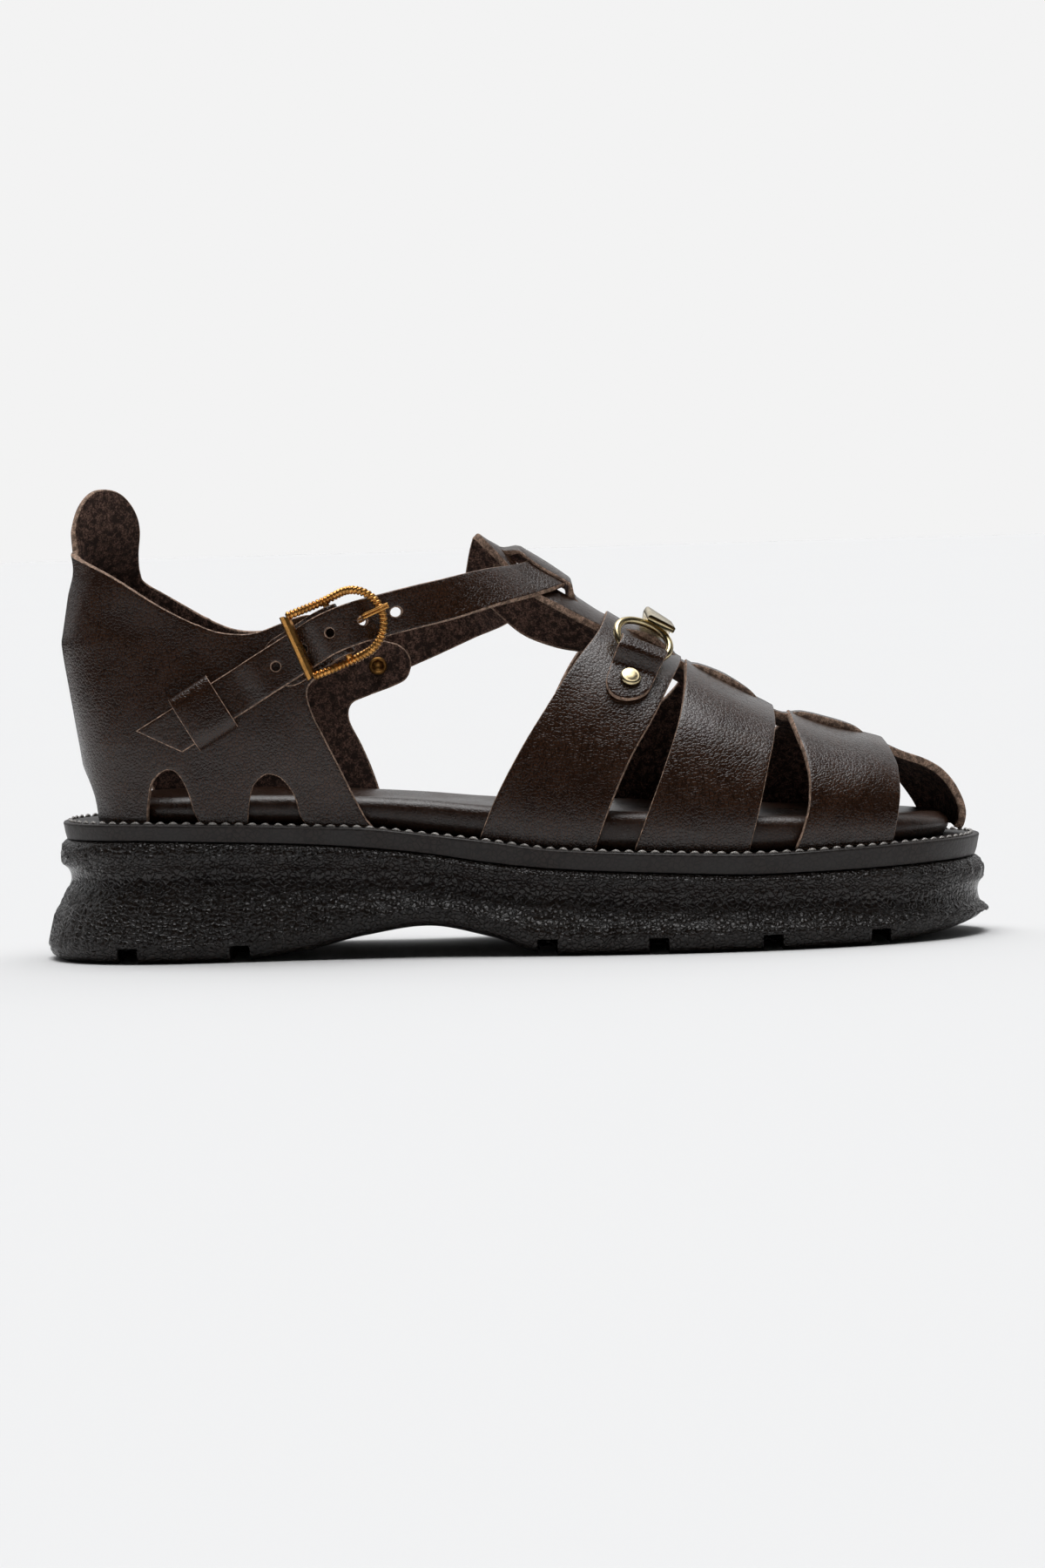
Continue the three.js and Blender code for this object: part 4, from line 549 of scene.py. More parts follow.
def cut_hide(name, loops, place, thick, finish, edge=0.4, grid=1.4, rim=0.8, uneven=0.1, seed=1):
    """A piece of hide: outlines in flat millimetres, laid on a surface and given rounded cut edges.
    finish holds the materials of its grain side, its cut edge and its flesh side."""
    rims = []
    for k, loop in enumerate(loops):
        loop = resample(loop, rim)
        turned = signed_area(loop) < 0
        rims.append(loop[::-1] if turned == (k == 0) else loop)
    ways = [inward(loop) for loop in rims]
    inset = [loop + way * edge for loop, way in zip(rims, ways)]
    marks = np.concatenate(inset)
    low, high = marks.min(0), marks.max(0)
    xs = np.arange(low[0] + grid / 2, high[0], grid)
    ys = np.arange(low[1] + grid / 2, high[1], grid * 0.87)
    gx, gy = np.meshgrid(xs, ys)
    gx = gx + (np.arange(len(ys)) % 2)[:, None] * grid / 2
    fill = np.stack([gx.ravel(), gy.ravel()], -1)
    fill = fill[inside(fill, inset)]
    fill = fill[nearest(fill, marks) > 0.5 * grid]
    flat = np.concatenate([marks, fill])
    links, start = [], 0
    for loop in inset:
        count = len(loop)
        links += [(start + i, start + (i + 1) % count) for i in range(count)]
        start += count
    _, _, tris, origin, _, _ = delaunay_2d_cdt([Vector(p) for p in flat], links, [], 0, 1e-6)
    back = [o[0] if o else -1 for o in origin]
    tris = np.array([[back[i] for i in t] for t in tris if len(t) == 3 and all(back[i] >= 0 for i in t)])
    tris = tris[inside(flat[tris].mean(1), inset)]

    def laid(points, under, depth):
        spots, normals = place(points)
        full = thick(points) if callable(thick) else thick
        lift = wobble(spots, 17.0, seed) * uneven - under * full - depth
        return spots + normals * lift[:, None]

    around = np.concatenate(rims)
    way = np.concatenate(ways)
    layers = [laid(flat, 0, 0)]
    for share, under, depth in EDGE_PROFILE:
        layers.append(laid(around + way * edge * share, under, depth * edge))
    layers.append(laid(flat, 1, 0))
    offsets = np.concatenate([[0], np.cumsum([len(layer) for layer in layers])])
    faces = [tuple(t) for t in tris]
    kinds = [0] * len(tris)
    for k in range(len(layers) - 1):
        a, b = offsets[k], offsets[k + 1]
        for i, j in links:
            faces.append((a + i, b + i, b + j, a + j))
        kinds += [0 if k == 0 else 1] * len(links)
    faces += [tuple(offsets[-2] + t[::-1]) for t in tris]
    kinds += [2] * len(tris)
    obj = make_object(name, np.concatenate(layers), faces, finish, kinds)
    turn_outward(obj)
    return obj


def turn_outward(obj):
    """Turns every face of a closed mesh outward."""
    mesh = obj.data
    count = len(mesh.vertices)
    spots = np.empty(count * 3)
    mesh.vertices.foreach_get("co", spots)
    spots = spots.reshape(-1, 3)
    volume = 0.0
    for face in mesh.polygons:
        a = spots[face.vertices[0]]
        for k in range(1, len(face.vertices) - 1):
            volume += np.dot(a, np.cross(spots[face.vertices[k]], spots[face.vertices[k + 1]]))
    if volume < 0:
        mesh.flip_normals()


def keep(obj, slot, *nodes):
    """Hands a finished piece to the frame."""
    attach(obj, BODY)
    if nodes:
        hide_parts(*nodes)


def circle(x, y, radius, count=22):
    turn = np.arange(count) * 2 * np.pi / count
    return np.stack([x + radius * np.cos(turn), y + radius * np.sin(turn)], -1)


def oblong(low_x, low_y, high_x, high_y):
    return [(low_x, low_y), (high_x, low_y), (high_x, high_y), (low_x, high_y)]


def through(points, steps=8):
    """A smooth open line through a few points."""
    points = np.asarray(points, float)
    return catmull(points, np.linspace(0, len(points) - 1, (len(points) - 1) * steps + 1))


def rounded(loop, radius, steps=5):
    """Rounds the corners of a closed outline."""
    loop = np.asarray(loop, float)
    out = []
    for before, corner, after in zip(np.roll(loop, 1, axis=0), loop, np.roll(loop, -1, axis=0)):
        start = corner + unit(before - corner) * min(radius, 0.45 * np.linalg.norm(before - corner))
        end = corner + unit(after - corner) * min(radius, 0.45 * np.linalg.norm(after - corner))
        for t in np.linspace(0, 1, steps):
            out.append(start * (1 - t) ** 2 + 2 * corner * t * (1 - t) + end * t ** 2)
    return np.array(out)


# Surfaces the pieces are cut from

def band_place(rear, front, inner):
    """One cage band: flat x runs from its rear to its front edge, flat y over the foot."""
    def surface(flat):
        share = flat[:, 0] / BAND_WIDTH
        turn = np.clip(flat[:, 1] / BAND_SPAN, 0, 1) * np.pi
        medial = smooth(0.47 * np.pi, 0.53 * np.pi, turn)
        low = np.full(len(flat), -24.0)
        high = np.full(len(flat), 116.0)
        for _ in range(26):
            x = (low + high) / 2
            z = last_section(x, turn)[:, 2]
            moved = medial * (1 - smooth(inner["full"], inner["none"], z))
            rear_x = rear("x", z) + inner["rear"] * moved
            front_x = front("x", z) + inner["front"] * moved
            ahead = x > mix(rear_x, front_x, share)
            high = np.where(ahead, x, high)
            low = np.where(ahead, low, x)
        return last_section((low + high) / 2, turn)

    return as_place(surface)


def grid_surface(grid, rows_at, columns_at):
    """A smooth surface through a grid of points, read by flat millimetres."""
    grid = np.asarray(grid, float)
    padded = np.concatenate([2 * grid[:1] - grid[1:2], grid, 2 * grid[-1:] - grid[-2:-1]])
    before = 2 * padded[:, :1] - padded[:, 1:2]
    after = 2 * padded[:, -1:] - padded[:, -2:-1]
    padded = np.concatenate([before, padded, after], 1)

    def weights(at, places):
        number = np.interp(at, places, np.arange(len(places)))
        i = np.clip(np.floor(number).astype(int), 0, len(places) - 2)
        w = number - i
        w = w + np.where(at > places[-1], at - places[-1], 0) / (places[-1] - places[-2])
        w = w + np.where(at < places[0], at - places[0], 0) / (places[1] - places[0])
        cube = np.stack([
            -0.5 * w + w ** 2 - 0.5 * w ** 3, 1 - 2.5 * w ** 2 + 1.5 * w ** 3,
            0.5 * w + 2 * w ** 2 - 1.5 * w ** 3, -0.5 * w ** 2 + 0.5 * w ** 3,
        ], -1)
        return i, cube

    def surface(flat):
        i, by_row = weights(flat[:, 0], rows_at)
        j, by_column = weights(flat[:, 1], columns_at)
        out = np.zeros((len(flat), 3))
        for a in range(4):
            for b in range(4):
                out += padded[i + a, j + b] * (by_row[:, a] * by_column[:, b])[:, None]
        return out

    return surface


def strip_grid():
    """The centre strip's points over the last and down to the welt at the toe, row by row."""
    shares = np.linspace(0, 1, STRIP_COLUMNS)
    rows = []
    for near_x, near_y, far_x, far_y, lift in STRIP_OVER_LAST:
        lifts = np.full(STRIP_COLUMNS, lift)
        spot, _ = on_last(mix(near_x, far_x, shares), mix(near_y, far_y, shares), lifts)
        rows.append(spot)
    outward = unit(np.array([0.75, 0.25, 0.6]))
    for row in STRIP_TOE:
        near, far, bow = row[:3], row[3:6], row[6]
        across = mix(near, far, shares[:, None])
        rows.append(across + outward * (bow * 4 * shares * (1 - shares))[:, None])
    return np.array(rows)


def strip_place():
    """The centre strip, with the part between its two slits raised as a bridge over the ankle strap."""
    grid = strip_grid()
    rows_at = run_length(grid[:, STRIP_COLUMNS // 2])
    base = grid_surface(grid, rows_at, np.linspace(0, STRIP_WIDE, STRIP_COLUMNS))
    flat_normals = as_place(base)

    def surface(flat):
        spots, normals = flat_normals(flat)
        return spots + normals * (BRIDGE["lift"] * risen(flat))[:, None]

    def risen(flat):
        row = np.interp(flat[:, 0], rows_at, np.arange(len(rows_at)))
        rise = smooth(BRIDGE["rear"], BRIDGE["rear"] + BRIDGE["ramp"], row) * (
            1 - smooth(BRIDGE["front"] - BRIDGE["ramp"], BRIDGE["front"], row))
        share = flat[:, 1] / STRIP_WIDE
        return rise * ((share > BRIDGE["near"]) & (share < BRIDGE["far"]))

    def thick(flat):
        return mix(STRIP_THICK, BRIDGE_THICK, risen(flat))

    def place(flat):
        share = flat[:, 1] / STRIP_WIDE
        edge_safe = flat.copy()
        clear = 0.4 / STRIP_WIDE
        for mark in (BRIDGE["near"], BRIDGE["far"]):
            off = share - mark
            beside = (mark + np.where(off < 0, -clear, clear)) * STRIP_WIDE
            edge_safe[:, 1] = np.where(np.abs(off) < clear, beside, edge_safe[:, 1])
        return surface(flat), numeric_normals(surface, edge_safe)

    return place, thick, rows_at


def counter_turn(flat_x):
    """Turn round the heel from flat millimetres along the counter."""
    cap = 90 * COUNTER_MM
    return np.where(
        np.abs(flat_x) <= cap, flat_x / COUNTER_MM, np.sign(flat_x) * (90 + np.abs(flat_x) - cap))


def counter_flat(side, x, z):
    """Flat place on the counter of a point seen from the side."""
    turns = np.linspace(-12, -152 if side == "lateral" else 152, 740)
    xs = counter_wrap(turns, z)[:, 0]
    turn = np.interp(x, np.maximum.accumulate(xs), turns)
    cap = 90 * COUNTER_MM
    along = turn * COUNTER_MM if abs(turn) <= 90 else math.copysign(cap + abs(turn) - 90, turn)
    return along, z


def counter_foot(side, x):
    return counter_flat(side, x, float(last_floor(x)))


def arch_line(side, arch):
    """The rim of an arched cut-out, from its rear foot to its front foot."""
    left, right, top, crest = arch["left"], arch["right"], arch["top"], arch["crest"]
    shoulder = top - 6
    line = through([
        (left, shoulder - 4), (left + 1.2, shoulder + 2), ((left + crest) / 2 + 0.6, top - 0.9), (crest, top),
        ((right + crest) / 2 - 0.8, top - 1.3), (right - 1.6, shoulder), (right, shoulder - 6),
    ], 5)
    rim = [counter_foot(side, left - 0.3)] + [counter_flat(side, x, z) for x, z in line]
    return rim + [counter_foot(side, right + 1.6)]


def heel_arch_line():
    """The rim of the cut-out at the back of the heel, from its inner foot to its outer foot."""
    turn_at = np.linspace(-50, 50, 400)
    rise = HEEL_ARCH["rise"]
    rim = []
    for k in range(15):
        turn = k / 14 * np.pi
        z = HEEL_ARCH["top"] - rise + rise * math.sin(turn)
        y = HEEL_ARCH["half"] * math.cos(turn)
        rim.append((np.interp(y, counter_wrap(turn_at, z)[:, 1], turn_at) * COUNTER_MM, z))
    floor = float(last_floor(HEEL_ARCH["floor_x"]))
    return [(rim[0][0], floor)] + rim + [(rim[-1][0], floor)]


def counter_outline():
    """The counter laid flat: its upper edge, its inner lower edge, the heel's arch, its outer lower edge."""
    def feet(side, number):
        return [counter_foot(side, x) for x in COUNTER_FEET[side][number]]

    lateral = [counter_flat("lateral", x, z) for x, z in through(COUNTER_LATERAL, 6)]
    medial = [counter_flat("medial", x, z) for x, z in through(COUNTER_MEDIAL, 6)]
    loop = [counter_foot("lateral", COUNTER_FRONT["lateral"])] + lateral[::-1]
    loop += medial + [counter_foot("medial", COUNTER_FRONT["medial"])]
    rear, front = COUNTER_ARCHES["medial"]
    loop += feet("medial", 0) + arch_line("medial", front)[::-1]
    loop += feet("medial", 1) + arch_line("medial", rear)[::-1]
    loop += heel_arch_line()
    rear, front = COUNTER_ARCHES["lateral"]
    loop += feet("lateral", 0) + arch_line("lateral", rear)
    loop += feet("lateral", 1) + arch_line("lateral", front)
    loop += feet("lateral", 2)
    return np.array(loop, float)


def counter_surface(flat):
    return counter_wrap(counter_turn(flat[:, 0]), flat[:, 1])


def strap_surface(flat):
    lift = STRAP_LIFT("lift", flat[:, 0]) + STRAP_THICK / 2
    return seat_point(flat[:, 0], flat[:, 1], lift)


def path_surface(path):
    """A surface that follows a path of distances and lifts on the strap's seat; flat y runs across."""
    path = np.asarray(path, float)
    length = run_length(path)

    def surface(flat):
        distance = np.interp(flat[:, 0], length, path[:, 0])
        lift = np.interp(flat[:, 0], length, path[:, 1])
        return seat_point(distance, flat[:, 1], lift)

    return surface, length[-1]


def chape_path():
    """From the chape's rear end, over the centre bar and back under it."""
    wrap = BAR_RADIUS + GAP + CHAPE["thick"]
    top = BUCKLE["bar_lift"] + wrap
    foot = GAP + CHAPE["thick"]
    path = [(d, mix(foot, top, smooth(-12, -2, d))) for d in np.arange(CHAPE["from"], 0, 0.5)]
    for turn in np.linspace(np.pi / 2, -np.pi / 2, 16):
        path.append((wrap * np.cos(turn), BUCKLE["bar_lift"] + wrap * np.sin(turn)))
    path += [(d, GAP) for d in np.arange(-1.5, -7.6, -1.0)]
    return path


def keeper_surface(flat):
    """The keeper's loop: flat x runs over the strap, flat y along it."""
    turn = np.pi - np.clip(flat[:, 0] / KEEPER_SPAN, 0, 1) * np.pi
    half = KEEPER["width"] / 2
    across = half * np.abs(np.cos(turn)) ** 0.62 * np.sign(np.cos(turn))
    lift = GAP + (KEEPER["height"] + KEEPER["thick"] - GAP) * np.clip(np.sin(turn), 0, 1) ** 0.5
    return seat_point(KEEPER["at"] + flat[:, 1], across, lift)


def bit_frame(y):
    """The last under the bit at a place across the foot: point, way along, way down and way out."""
    point, normal = on_last(np.array([BIT_X]), np.array([float(y)]))
    point, normal = point[0], normal[0]
    along = np.array([1.0, 0, 0])
    along = unit(along - normal * normal[0])
    down = np.cross(along, normal)
    return point, along, down if down[2] < 0 else -down, normal


def bit_tab_points(side, down, across, lift):
    """Points of a tab that runs from its ring down the rear band."""
    sign = -1 if side == "lateral" else 1
    ys = RING[side] + sign * BIT_TAB["from_ring"] + sign * np.arange(0, 120) * BIT_TAB_STEP
    heights = last_height(np.full(len(ys), BIT_X), ys)
    travelled = np.concatenate([[0], np.cumsum(np.hypot(BIT_TAB_STEP, np.diff(heights)))])
    y = np.interp(np.maximum(down, 0), travelled, ys)
    spots, _ = on_last(BIT_X - 0.3 * np.maximum(down, 0) + across, y, lift)
    way_down = bit_frame(ys[0])[2]
    return spots + way_down * np.minimum(down, 0)[:, None]


def bit_tab_surface(side):
    ring_top = BIT_TAB["wire_lift"] + RING["wire"] + 2 * GAP + BIT_TAB["thick"]

    def surface(flat):
        lift = mix(ring_top, GAP + BIT_TAB["thick"], smooth(2.4, 6.4, flat[:, 1]))
        return bit_tab_points(side, flat[:, 1], flat[:, 0], lift)

    return surface


# Lofts, tubes and turned pieces

def stations(heel_tip, toe_tip, fine):
    heel = HEEL_CAP_X - (HEEL_CAP_X - heel_tip) * np.sin(np.linspace(np.pi / 2, 0, int(18 * fine)))
    middle = np.linspace(HEEL_CAP_X, CAP_START["lateral"], int(50 * fine))[1:-1]
    start = CAP_START["lateral"]
    toe = start + (toe_tip - start) * np.sin(np.linspace(0, np.pi / 2, int(36 * fine)))
    return np.concatenate([heel, middle, toe])


def sole_ring(side, heel, toe, height, heel_round=HEEL_ROUND, fine=1.0):
    """One ring of the sole, drawn in at the sides, the heel and the toe."""
    heel_tip, toe_tip = HEEL_TIP + heel, TOE_TIP - toe
    xs = stations(heel_tip, toe_tip, fine)
    lateral = -half_width("lateral", xs, side, heel_tip, toe_tip, heel_round)
    medial = half_width("medial", xs, side, heel_tip, toe_tip, heel_round)
    lateral[0] = 0
    lateral[-1] = TOE_TIP_Y
    x = np.concatenate([xs, xs[-2:0:-1]])
    y = np.concatenate([lateral, medial[-2:0:-1]])
    return np.stack([x, y, height(x) + 0 * x], -1)


def level(name, add=0.0):
    return lambda x: SOLE_LEVELS(name, x) + add


def ring_faces(levels, count, closed=False):
    """Four-sided faces between rings of equally many points, and back to the first ring if closed."""
    index = np.arange(count)
    following = (index + 1) % count
    faces = []
    for k in range(levels if closed else levels - 1):
        a = k * count
        b = (k + 1) % levels * count
        faces += np.stack([a + index, a + following, b + following, b + index], -1).tolist()
    return faces


def skin(name, rings, material, closed=False):
    """A closed solid round a row of rings, with a flat face at each end unless the row is closed."""
    levels, count = len(rings), len(rings[0])
    faces = ring_faces(levels, count, closed)
    if not closed:
        faces.append(list(reversed(range(count))))
        faces.append([(levels - 1) * count + k for k in range(count)])
    obj = make_object(name, np.concatenate(rings), faces, [material])
    turn_outward(obj)
    return obj


def bar(name, rows, material):
    """A bar through sections of equally many points. Its two end faces are wound inward."""
    levels, count = len(rows), len(rows[0])
    ends = [list(range(count)), [(levels - 1) * count + k for k in reversed(range(count))]]
    obj = make_object(name, np.concatenate(rows), ring_faces(levels, count) + ends, [material])
    turn_outward(obj)
    return obj


def loft(name, rings, material):
    """A closed solid between stacked rings, its ends closed from side to side."""
    levels, count = rings.shape[:2]
    faces = ring_faces(levels, count)
    half = count // 2
    top = (levels - 1) * count
    for i in range(half):
        left, left_next = (count - i) % count, count - i - 1
        bottom = [i, left, left_next, i + 1]
        if i == 0:
            bottom = [0, left_next, 1]
        if i == half - 1:
            bottom = [i, left, i + 1]
        faces.append(bottom)
        faces.append([top + v for v in reversed(bottom)])
    obj = make_object(name, rings.reshape(-1, 3), faces, [material])
    turn_outward(obj)
    return obj


def dense_rings(keys, spacing, fine, heel_round=HEEL_ROUND):
    """Rings at an even spacing through a few key rings."""
    rings = np.array([sole_ring(*key, heel_round=heel_round, fine=fine) for key in keys])
    middle = rings[:, len(rings[0]) // 5]
    spans = np.linalg.norm(np.diff(middle, axis=0), axis=1)
    at = [0.0]
    for k, span in enumerate(spans):
        count = max(1, int(round(span / spacing)))
        at += [k + (m + 1) / count for m in range(count)]
    flat = rings.reshape(len(keys), -1)
    return catmull(flat, np.array(at)).reshape(len(at), -1, 3)


def sweep(name, path, radius, material, sides=12, closed=False):
    """A tube along a path; radius is a number or a function of length, turn and side number."""
    path = np.asarray(path, float)
    count = len(path)
    if closed:
        tangent = unit(np.roll(path, -1, axis=0) - np.roll(path, 1, axis=0))
    else:
        tangent = unit(np.gradient(path, axis=0))
    length = run_length(path)
    first = np.array([0, 0, 1.0]) if abs(tangent[0][2]) < 0.9 else np.array([1.0, 0, 0])
    outs = [unit(first - tangent[0] * np.dot(first, tangent[0]))]
    for k in range(1, count):
        moved = outs[-1] - tangent[k] * np.dot(outs[-1], tangent[k])
        outs.append(unit(moved))
    outs = np.array(outs)
    ups = np.cross(tangent, outs)
    turn = np.arange(sides) * 2 * np.pi / sides
    size = radius(length[:, None], turn[None]) if callable(radius) else np.full((count, sides), float(radius))
    rings = path[:, None] + (outs[:, None] * np.cos(turn)[None, :, None] +
                             ups[:, None] * np.sin(turn)[None, :, None]) * size[..., None]
    return skin(name, rings, material, closed)


def turned(name, point, normal, profile, material, sides=40):
    """A lathe-turned piece: profile rows are radius and height above a point."""
    normal = unit(np.asarray(normal, float))
    first = np.array([1.0, 0, 0]) if abs(normal[0]) < 0.8 else np.array([0, 1.0, 0])
    across = unit(first - normal * np.dot(first, normal))
    other = np.cross(normal, across)
    turn = np.arange(sides) * 2 * np.pi / sides
    out = across * np.cos(turn)[:, None] + other * np.sin(turn)[:, None]
    rings = [point + normal * height + radius * out for radius, height in profile]
    return skin(name, rings, material)


def joined(name, objects):
    """Joins pieces of one kind into a single object."""
    target = objects[0]
    with bpy.context.temp_override(active_object=target, selected_editable_objects=objects):
        bpy.ops.object.join()
    target.name = name
    return target


def carve(obj, cutters):
    """Cuts solids away from a piece and removes the cutters."""
    for cutter in cutters:
        cut = obj.modifiers.new("cut", "BOOLEAN")
        cut.operation = "DIFFERENCE"
        cut.solver = "MANIFOLD"
        cut.object = cutter
        with bpy.context.temp_override(object=obj, active_object=obj):
            bpy.ops.object.modifier_apply(modifier=cut.name)
        bpy.data.objects.remove(cutter)


def boxes(name, spans):
    """One mesh of separate upright boxes, each given by its lowest and highest corner."""
    points, faces = [], []
    for low, high in spans:
        base = len(points)
        for z in (low[2], high[2]):
            points += [(x, y, z) for x, y in oblong(low[0], low[1], high[0], high[1])]
        sides = [(3, 2, 1, 0), (4, 5, 6, 7), (0, 1, 5, 4), (1, 2, 6, 5), (2, 3, 7, 6), (3, 0, 4, 7)]
        faces += [tuple(base + v for v in face) for face in sides]
    return make_object(name, points, faces, [])


# Finishes

def add(tree, kind, inputs=None, **settings):
    """Adds a shader node; an input is a value or the socket it is linked from."""
    node = tree.nodes.new("ShaderNode" + kind)
    for key, value in settings.items():
        setattr(node, key, value)
    for key, value in (inputs or {}).items():
        if isinstance(value, bpy.types.NodeSocket):
            tree.links.new(value, node.inputs[key])
        else:
            node.inputs[key].default_value = value
    return node


def calc(tree, operation, a, b=0.5):
    return add(tree, "Math", {0: a, 1: b}, operation=operation).outputs[0]


def ramp(tree, value, low, high, out_low=0.0, out_high=1.0):
    inputs = {"Value": value, "From Min": low, "From Max": high, "To Min": out_low, "To Max": out_high}
    return add(tree, "MapRange", inputs, interpolation_type="SMOOTHSTEP").outputs["Result"]


def blend(tree, share, a, b, kind="MIX"):
    node = add(tree, "Mix", {0: share, 6: a, 7: b}, data_type="RGBA", blend_type=kind)
    return node.outputs[2]


def noise(tree, coords, scale, detail=3.0, rough=0.6):
    inputs = {"Vector": coords, "Scale": scale, "Detail": detail, "Roughness": rough}
    return add(tree, "TexNoise", inputs).outputs["Fac"]


def effect_group(name, inputs, outputs, build):
    """A shader node group, built once."""
    tree = bpy.data.node_groups.get(name)
    if tree:
        return tree
    tree = bpy.data.node_groups.new(name, "ShaderNodeTree")
    for label, value in inputs.items():
        item = tree.interface.new_socket(name=label, in_out="INPUT", socket_type="NodeSocketFloat")
        item.default_value = value
    for label in outputs:
        tree.interface.new_socket(name=label, in_out="OUTPUT", socket_type="NodeSocketFloat")
    given = tree.nodes.new("NodeGroupInput")
    result = tree.nodes.new("NodeGroupOutput")
    coords = add(tree, "TexCoord").outputs["Object"]
    for label, value in build(tree, coords, given.outputs).items():
        tree.links.new(value, result.inputs[label])
    return tree


def build_grain(tree, coords, given):
    """Pebbles of hide: small domes parted by fine creases, over a slow unevenness."""
    per_metre = calc(tree, "DIVIDE", 1.0, given["Size"])
    drift = add(tree, "TexNoise", {"Vector": coords, "Scale": calc(tree, "MULTIPLY", per_metre, 0.45),
                                   "Detail": 2.0})
    centred = add(tree, "VectorMath", {0: drift.outputs["Color"], 1: (0.5, 0.5, 0.5)}, operation="SUBTRACT")
    by = calc(tree, "MULTIPLY", given["Size"], 1.3)
    reach = add(tree, "VectorMath", {0: centred.outputs[0], "Scale": by}, operation="SCALE")
    bent = add(tree, "VectorMath", {0: coords, 1: reach.outputs[0]}, operation="ADD").outputs[0]
    edge = add(tree, "TexVoronoi", {"Vector": bent, "Scale": per_metre}, feature="DISTANCE_TO_EDGE")
    dome = add(tree, "TexVoronoi", {"Vector": bent, "Scale": per_metre}, feature="F1")
    # Crease is also the mask for the painted shade that hide_finish puts in the creases
    crease = ramp(tree, edge.outputs["Distance"], 0.0, 0.16)
    crown = ramp(tree, dome.outputs["Distance"], 0.75, 0.0)
    pores = noise(tree, coords, calc(tree, "MULTIPLY", per_metre, 3.2), 3.0)
    slow = noise(tree, coords, calc(tree, "MULTIPLY", per_metre, 0.09), 3.0)
    height = calc(tree, "ADD", calc(tree, "MULTIPLY", crease, 0.45), calc(tree, "MULTIPLY", crown, 0.4))
    height = calc(tree, "ADD", height, calc(tree, "MULTIPLY", pores, 0.3))
    height = calc(tree, "ADD", height, calc(tree, "MULTIPLY", slow, 3.5))
    return {"Height": height, "Crease": crease, "Mottle": slow}


def build_fibres(tree, coords, given):
    """Matted fibres, as on a cut edge or the flesh side of hide."""
    per_metre = calc(tree, "DIVIDE", 1.0, given["Size"])
    coarse = noise(tree, coords, calc(tree, "MULTIPLY", per_metre, 0.35), 4.0, 0.7)
    fine = noise(tree, coords, calc(tree, "MULTIPLY", per_metre, 1.4), 5.0, 0.8)
    height = calc(tree, "ADD", calc(tree, "MULTIPLY", coarse, 0.5), fine)
    return {"Height": height, "Clump": coarse, "Fleck": fine}


def build_rub(tree, coords, given):
    """Handling marks on metal: soft cloudy patches and hair scratches."""
    per_metre = calc(tree, "DIVIDE", 1.0, given["Size"])
    cloud = noise(tree, coords, per_metre, 4.0, 0.65)
    inputs = {"Vector": coords, "Rotation": (0.3, 0.5, 0.6), "Scale": (0.1, 1.0, 1.0)}
    stretched = add(tree, "Mapping", inputs).outputs[0]
    hair = noise(tree, stretched, calc(tree, "MULTIPLY", per_metre, 16.0), 2.0)
    return {"Cloud": cloud, "Scratch": ramp(tree, hair, 0.45, 0.75)}


def grain_group():
    return effect_group("Hide grain", {"Size": 0.0008}, ("Height", "Crease", "Mottle"), build_grain)


def fibre_group():
    return effect_group("Hide fibres", {"Size": 0.0005}, ("Height", "Clump", "Fleck"), build_fibres)


def rub_group():
    return effect_group("Metal rub", {"Size": 0.003}, ("Cloud", "Scratch"), build_rub)


def effect(tree, group, size):
    node = tree.nodes.new("ShaderNodeGroup")
    node.node_tree = group
    node.inputs["Size"].default_value = size
    return node.outputs


def finish(name, build, **surface):
    """A material: build gives its changing inputs; surface holds the constant ones."""
    known = bpy.data.materials.get(name)
    if known:
        return known
    material = bpy.data.materials.new(name)
    material.use_nodes = True
    tree = material.node_tree
    tree.nodes.clear()
    shader = add(tree, "BsdfPrincipled")
    for key, value in surface.items():
        shader.inputs[key.replace("_", " ")].default_value = value
    for key, value in build(tree).items():
        tree.links.new(value, shader.inputs[key])
    out = add(tree, "OutputMaterial")
    tree.links.new(shader.outputs[0], out.inputs[0])
    return material


def bump(tree, height, depth, strength=1.0):
    inputs = {"Height": height, "Distance": depth, "Strength": strength}
    return add(tree, "Bump", inputs).outputs["Normal"]


def shade(colour, by):
    return tuple(min(1.0, c * by) for c in colour[:3]) + (1.0,)


def hide_finish(name, colour, size, depth, rough, **surface):
    def build(tree):
        grain = effect(tree, grain_group(), size)
        toned = blend(tree, ramp(tree, grain["Mottle"], 0.3, 0.7), shade(colour, 0.7), shade(colour, 1.3))
        # Painted shade: the grain's creases are painted at half the colour, standing in for the shade that
        # falls in them
        base = blend(tree, grain["Crease"], shade(colour, 0.5), toned)
        return {
            "Base Color": base,
            "Roughness": ramp(tree, grain["Mottle"], 0.3, 0.7, rough * 0.85, rough * 1.2),
            "Normal": bump(tree, grain["Height"], depth),
        }

    return finish(name, build, **surface)


def fibre_finish(name, pale, deep, size, depth, rough, low=0.35, high=0.62):
    def build(tree):
        fibres = effect(tree, fibre_group(), size)
        base = blend(tree, ramp(tree, fibres["Fleck"], low, high), deep, pale)
        worn = blend(tree, ramp(tree, fibres["Clump"], 0.4, 0.62), shade(deep, 0.8), base)
        return {"Base Color": worn, "Normal": bump(tree, fibres["Height"], depth)}

    return finish(name, build, Roughness=rough, Specular_IOR_Level=0.25)


def metal_finish(name, colour, rough, tarnish=0.55):
    def build(tree):
        rub = effect(tree, rub_group(), 0.003)
        base = blend(tree, ramp(tree, rub["Cloud"], 0.35, 0.6), shade(colour, tarnish), colour)
        return {
            "Base Color": base,
            "Roughness": ramp(tree, rub["Cloud"], 0.3, 0.7, rough * 1.35, rough * 0.8),
            "Normal": bump(tree, rub["Scratch"], 0.00001, 0.5),
        }

    return finish(name, build, Metallic=1.0)


